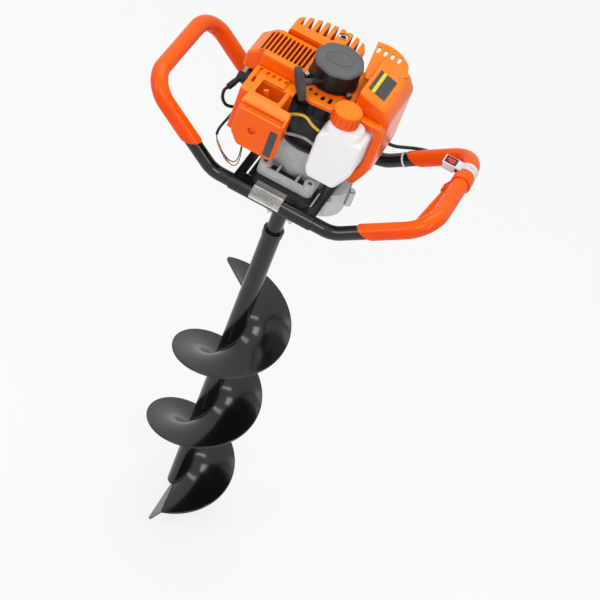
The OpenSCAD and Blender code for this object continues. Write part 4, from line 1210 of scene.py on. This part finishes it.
def make_wires():
    """The stop wires: a black sleeve, then two thin wires with a push connector on each."""
    line = curve(WIRE_ROUTE)
    stand_for(tube("wire_sleeve", line[:WIRE_SLEEVE_END + 1], WIRE_SLEEVE_R, "rubber"), "frame")
    thin = line[WIRE_SLEEVE_END:]
    last = len(thin) - 1
    wide = [point + WIRE_APART * math.sin(math.pi * i / last) for i, point in enumerate(thin)]
    stand_for(tube("wire_black", thin, WIRE_R, "rubber", WIRE_SIDES), "frame")
    stand_for(tube("wire_red", wide, WIRE_R, "wire_red", WIRE_SIDES), "frame")
    stand_for(tube("push_connector", thin[4:10], 2.0, "brass"), "frame")
    stand_for(tube("push_connector", wide[12:17], 1.9, "brass"), "frame")


def make_cords():
    """The throttle cable, the stop wires, the ignition lead and the two fuel lines."""
    stand_for(tube("cable", curve(CABLE_ROUTE), CABLE_R, "rubber"), "frame", "control_cables")
    make_wires()
    stand_for(tube("lead", curve(LEAD_ROUTE), LEAD_R, "rubber"), "frame", "ignition_lead")
    fuel_line = tube("fuel_line", curve(FUEL_ROUTE), FUEL_R, "clear_plastic")
    stand_for(fuel_line, "frame", "fuel_lines")
    stand_for(tube("return_line", curve(RETURN_ROUTE), FUEL_R, "grey_tube"), "frame")


def make_rope():
    """The starter rope, which is paid out between the starter and its handle."""
    line = straight(ROPE_START, ROPE_END, ROPE_RINGS)
    rope = tube("rope", line, ROPE_R, "rope")
    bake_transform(rope)
    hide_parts("starter_rope")


# Bare plates, where the object carries printed ones

ROOF_PLATE_Y = (-24, 34)
ROOF_PLATE_X = (65, 97)
ROOF_STRIPE_X = (71, 77)
PLATE_SUNK = -0.4
PLATE_PROUD = 0.5
STRIPE_PROUD = 0.7
LID_STRIP = ("y", rounded(-42, 94.5, -28.5, 148, 1.5), -128.6, -127.5)
LID_PLUG = ("y", circle(FILTER_SCREW, 6.9), -124.2, -119)


def on_roof(span, proud):
    """Side outline of a plate that lies on the tank cover's sloping roof."""
    slope = (RIDGE[1] - BROW[1]) / (BROW[0] - RIDGE[0])
    corners = [(span[0], PLATE_SUNK), (span[1], PLATE_SUNK), (span[1], proud), (span[0], proud)]
    return [(x, RIDGE[1] - slope * (x - RIDGE[0]) + up) for x, up in corners]


def make_plates():
    """The plate and stripe on the tank cover, the strip on the filter's lid and the plug in its recess."""
    plate = prism("slope_plate", "y", on_roof(ROOF_PLATE_X, PLATE_PROUD), *ROOF_PLATE_Y)
    detail(plate, "plate_dark")
    stripe = prism("slope_stripe", "y", on_roof(ROOF_STRIPE_X, STRIPE_PROUD), *ROOF_PLATE_Y)
    detail(stripe, "plate_yellow")
    detail(prism("lid_strip", *LID_STRIP), "plate_dark")
    detail(prism("lid_plug", *LID_PLUG), "orange_plastic")


# Tray

TRAY_ROLL = 15.55
TRAY_PLATE_X = (-38, 18)
TRAY_PLATE_BACK = -LEG_Y + 14
TRAY_PLATE_SUNK = 0.2
TRAY_PLATE_PROUD = 0.4
TRAY_PLATE_WRAP = 96
TRAY_RIDGES = 10
RIDGE_LOW = 0.3
RIDGE_HIGH = 1.6
POCKETS = ((-32, -20, -54.5), (-16, 16, -57.2), (20, 32, -54.5))
POCKET_FRONT = -78.7
POCKET_GAP = 0.3
POCKET_ROUND = 1.5
POCKET_Z = TRAY_ROLL + 6
POCKET_T = 0.8


def make_tray_plate():
    """A ridged bright plate over the tray's rolled front."""
    inside = TRAY_ROLL - TRAY_PLATE_SUNK
    outer = [(TRAY_PLATE_BACK, TRAY_ROLL + TRAY_PLATE_PROUD)]
    for i in range(2 * TRAY_RIDGES + 1):
        angle = math.radians(90 + TRAY_PLATE_WRAP * i / (2 * TRAY_RIDGES))
        reach = TRAY_ROLL + (RIDGE_HIGH if i % 2 else RIDGE_LOW)
        outer.append((-LEG_Y + reach * math.cos(angle), reach * math.sin(angle)))
    inner = [(TRAY_PLATE_BACK, inside)] + arc((-LEG_Y, 0), inside, 90, 90 + TRAY_PLATE_WRAP, 24)
    plate = prism("tray_plate", "x", outer + inner[::-1], *TRAY_PLATE_X)
    detail(plate, "plate_silver", width=0.1)


def make_pocket_shade():
    """Painted shade: dark plates over the floors of the pockets in the front of the clutch housing's flange,
    where shade falls.
    """
    for left, right, rear in POCKETS:
        outline = rounded(left + POCKET_GAP, POCKET_FRONT, right - POCKET_GAP, rear, POCKET_ROUND)
        detail(prism("pocket", "z", outline, POCKET_Z, POCKET_Z + POCKET_T), "black_plastic")


# Caps

CAP_BEAD_AWAY = 20.0
CAP_BEAD_R = 0.7
STARTER_CAP_TOP = STARTER_Z + 43
AXIS_R = 0.01
STARTER_CAP_LOBES = 8
LOBE_DEPTH = 0.035
OVAL = (24, 17)
OVAL_TURN = 20
OVAL_R = 0.45


def make_cap_bead():
    """Low bead round the top of the fuel cap."""
    top = (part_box("fuel_cap")[1].z - HEAD) / MM
    line = [head(x, y, top) for x, y in arc(NECK, CAP_BEAD_AWAY, 0, 360, 64)]
    stand_for(tube("cap_bead", line, CAP_BEAD_R, "orange_plastic", 10), "cap")


def starter_oval():
    """The line of the oval bead on the starter's cap."""
    cos, sin = polar(1, OVAL_TURN)
    line = []
    for i in range(49):
        angle = 2 * math.pi * (i % 48) / 48
        x, y = OVAL[0] * math.cos(angle), OVAL[1] * math.sin(angle)
        line.append(head(x * cos - y * sin, x * sin + y * cos, STARTER_CAP_TOP))
    return line


def make_starter_cap():
    """The grey cap with its eight shallow lobes and an oval bead."""
    top = STARTER_CAP_TOP
    profile = [
        (AXIS_R, top - 8), (STARTER_R + 1, top - 8), (STARTER_R + 2, top - 7), (STARTER_R + 2, top - 4),
        (STARTER_R + 0.6, top - 1.6), (STARTER_R - 2.5, top), (AXIS_R, top),
    ]
    cap = lathe("cap", profile, steps=128, lobes=STARTER_CAP_LOBES, depth=LOBE_DEPTH)
    trim(cap, "grey_plastic", 0.3)
    stand_for(cap, "frame", "starter_cap")
    stand_for(tube("bead", starter_oval(), OVAL_R, "handle_grey", 8), "frame")


# Small pieces on the handles and the engine

BEZEL = ("z", rounded(219.5, 45, 240.5, 63, 1.5), 120.5, 122)
BEZEL_HOLE = (222, 47, 118, 238, 61, 124)
SCREW_PROFILE = [(AXIS_R, 126), (3.2, 126), (3.2, 128.2), (2.4, 129.2), (AXIS_R, 129.4)]
SCREW_AT = (266, 55)
TIE_X = 150.0
TIE_HALF = 1.6
TIE_R = TUBE_R + 1.1
BOOT_KNEE = (-143, -23, 131)
BOOT_END = (-152, -46, 119)
BOOT_RIBS = (0.5, 0.66, 0.82)
BOOT_RIB_LONG = 0.07
BOOT_RIB_R = 5.9


def make_switch_trim():
    """Dark frame round the stop switch, and the strap's screw."""
    bezel = prism("bezel", *BEZEL)
    combine(bezel, [box(*BEZEL_HOLE)])
    detail(bezel, "black_plastic")
    detail(lathe("strap_screw", SCREW_PROFILE, SCREW_AT, 24), "steel")


def make_tie():
    """Cable tie round the rear right leg."""
    centre = (TIE_X, LEG_Y, (TIE_X - FOOT_X) * LEG_RISE / LEG_RUN)
    half = (TIE_HALF * LEG_RUN, 0, TIE_HALF * LEG_RISE)
    ends = [tuple(c + sign * h for c, h in zip(centre, half)) for sign in (-1, 1)]
    stand_for(tube("tie", straight(*ends), TIE_R, "tie", 32), "frame")


def make_boot_ribs():
    """Ribs round the spark plug boot's lower half, placed by their share of the way along it."""
    for share in BOOT_RIBS:
        shares = (share, share + BOOT_RIB_LONG)
        ends = [[a + (b - a) * s for a, b in zip(BOOT_KNEE, BOOT_END)] for s in shares]
        stand_for(tube("boot_rib", straight(*ends), BOOT_RIB_R, "rubber", 24), "frame")


bpy.context.scene.view_settings.view_transform = "Standard"
make_camera()
make_world()
make_floor()
for lamp in LAMPS:
    make_lamp(*lamp)
dress_nodes()
make_cylinder_cover()
make_fan_housing()
make_shroud()
make_tank_cover()
make_muffler_guard()
make_filter_base()
make_filter_lid()
make_tank()
make_flight()
make_weld()
make_sleeves()
make_cords()
make_rope()
make_plates()
make_tray_plate()
make_pocket_shade()
make_cap_bead()
make_starter_cap()
make_switch_trim()
make_tie()
make_boot_ribs()
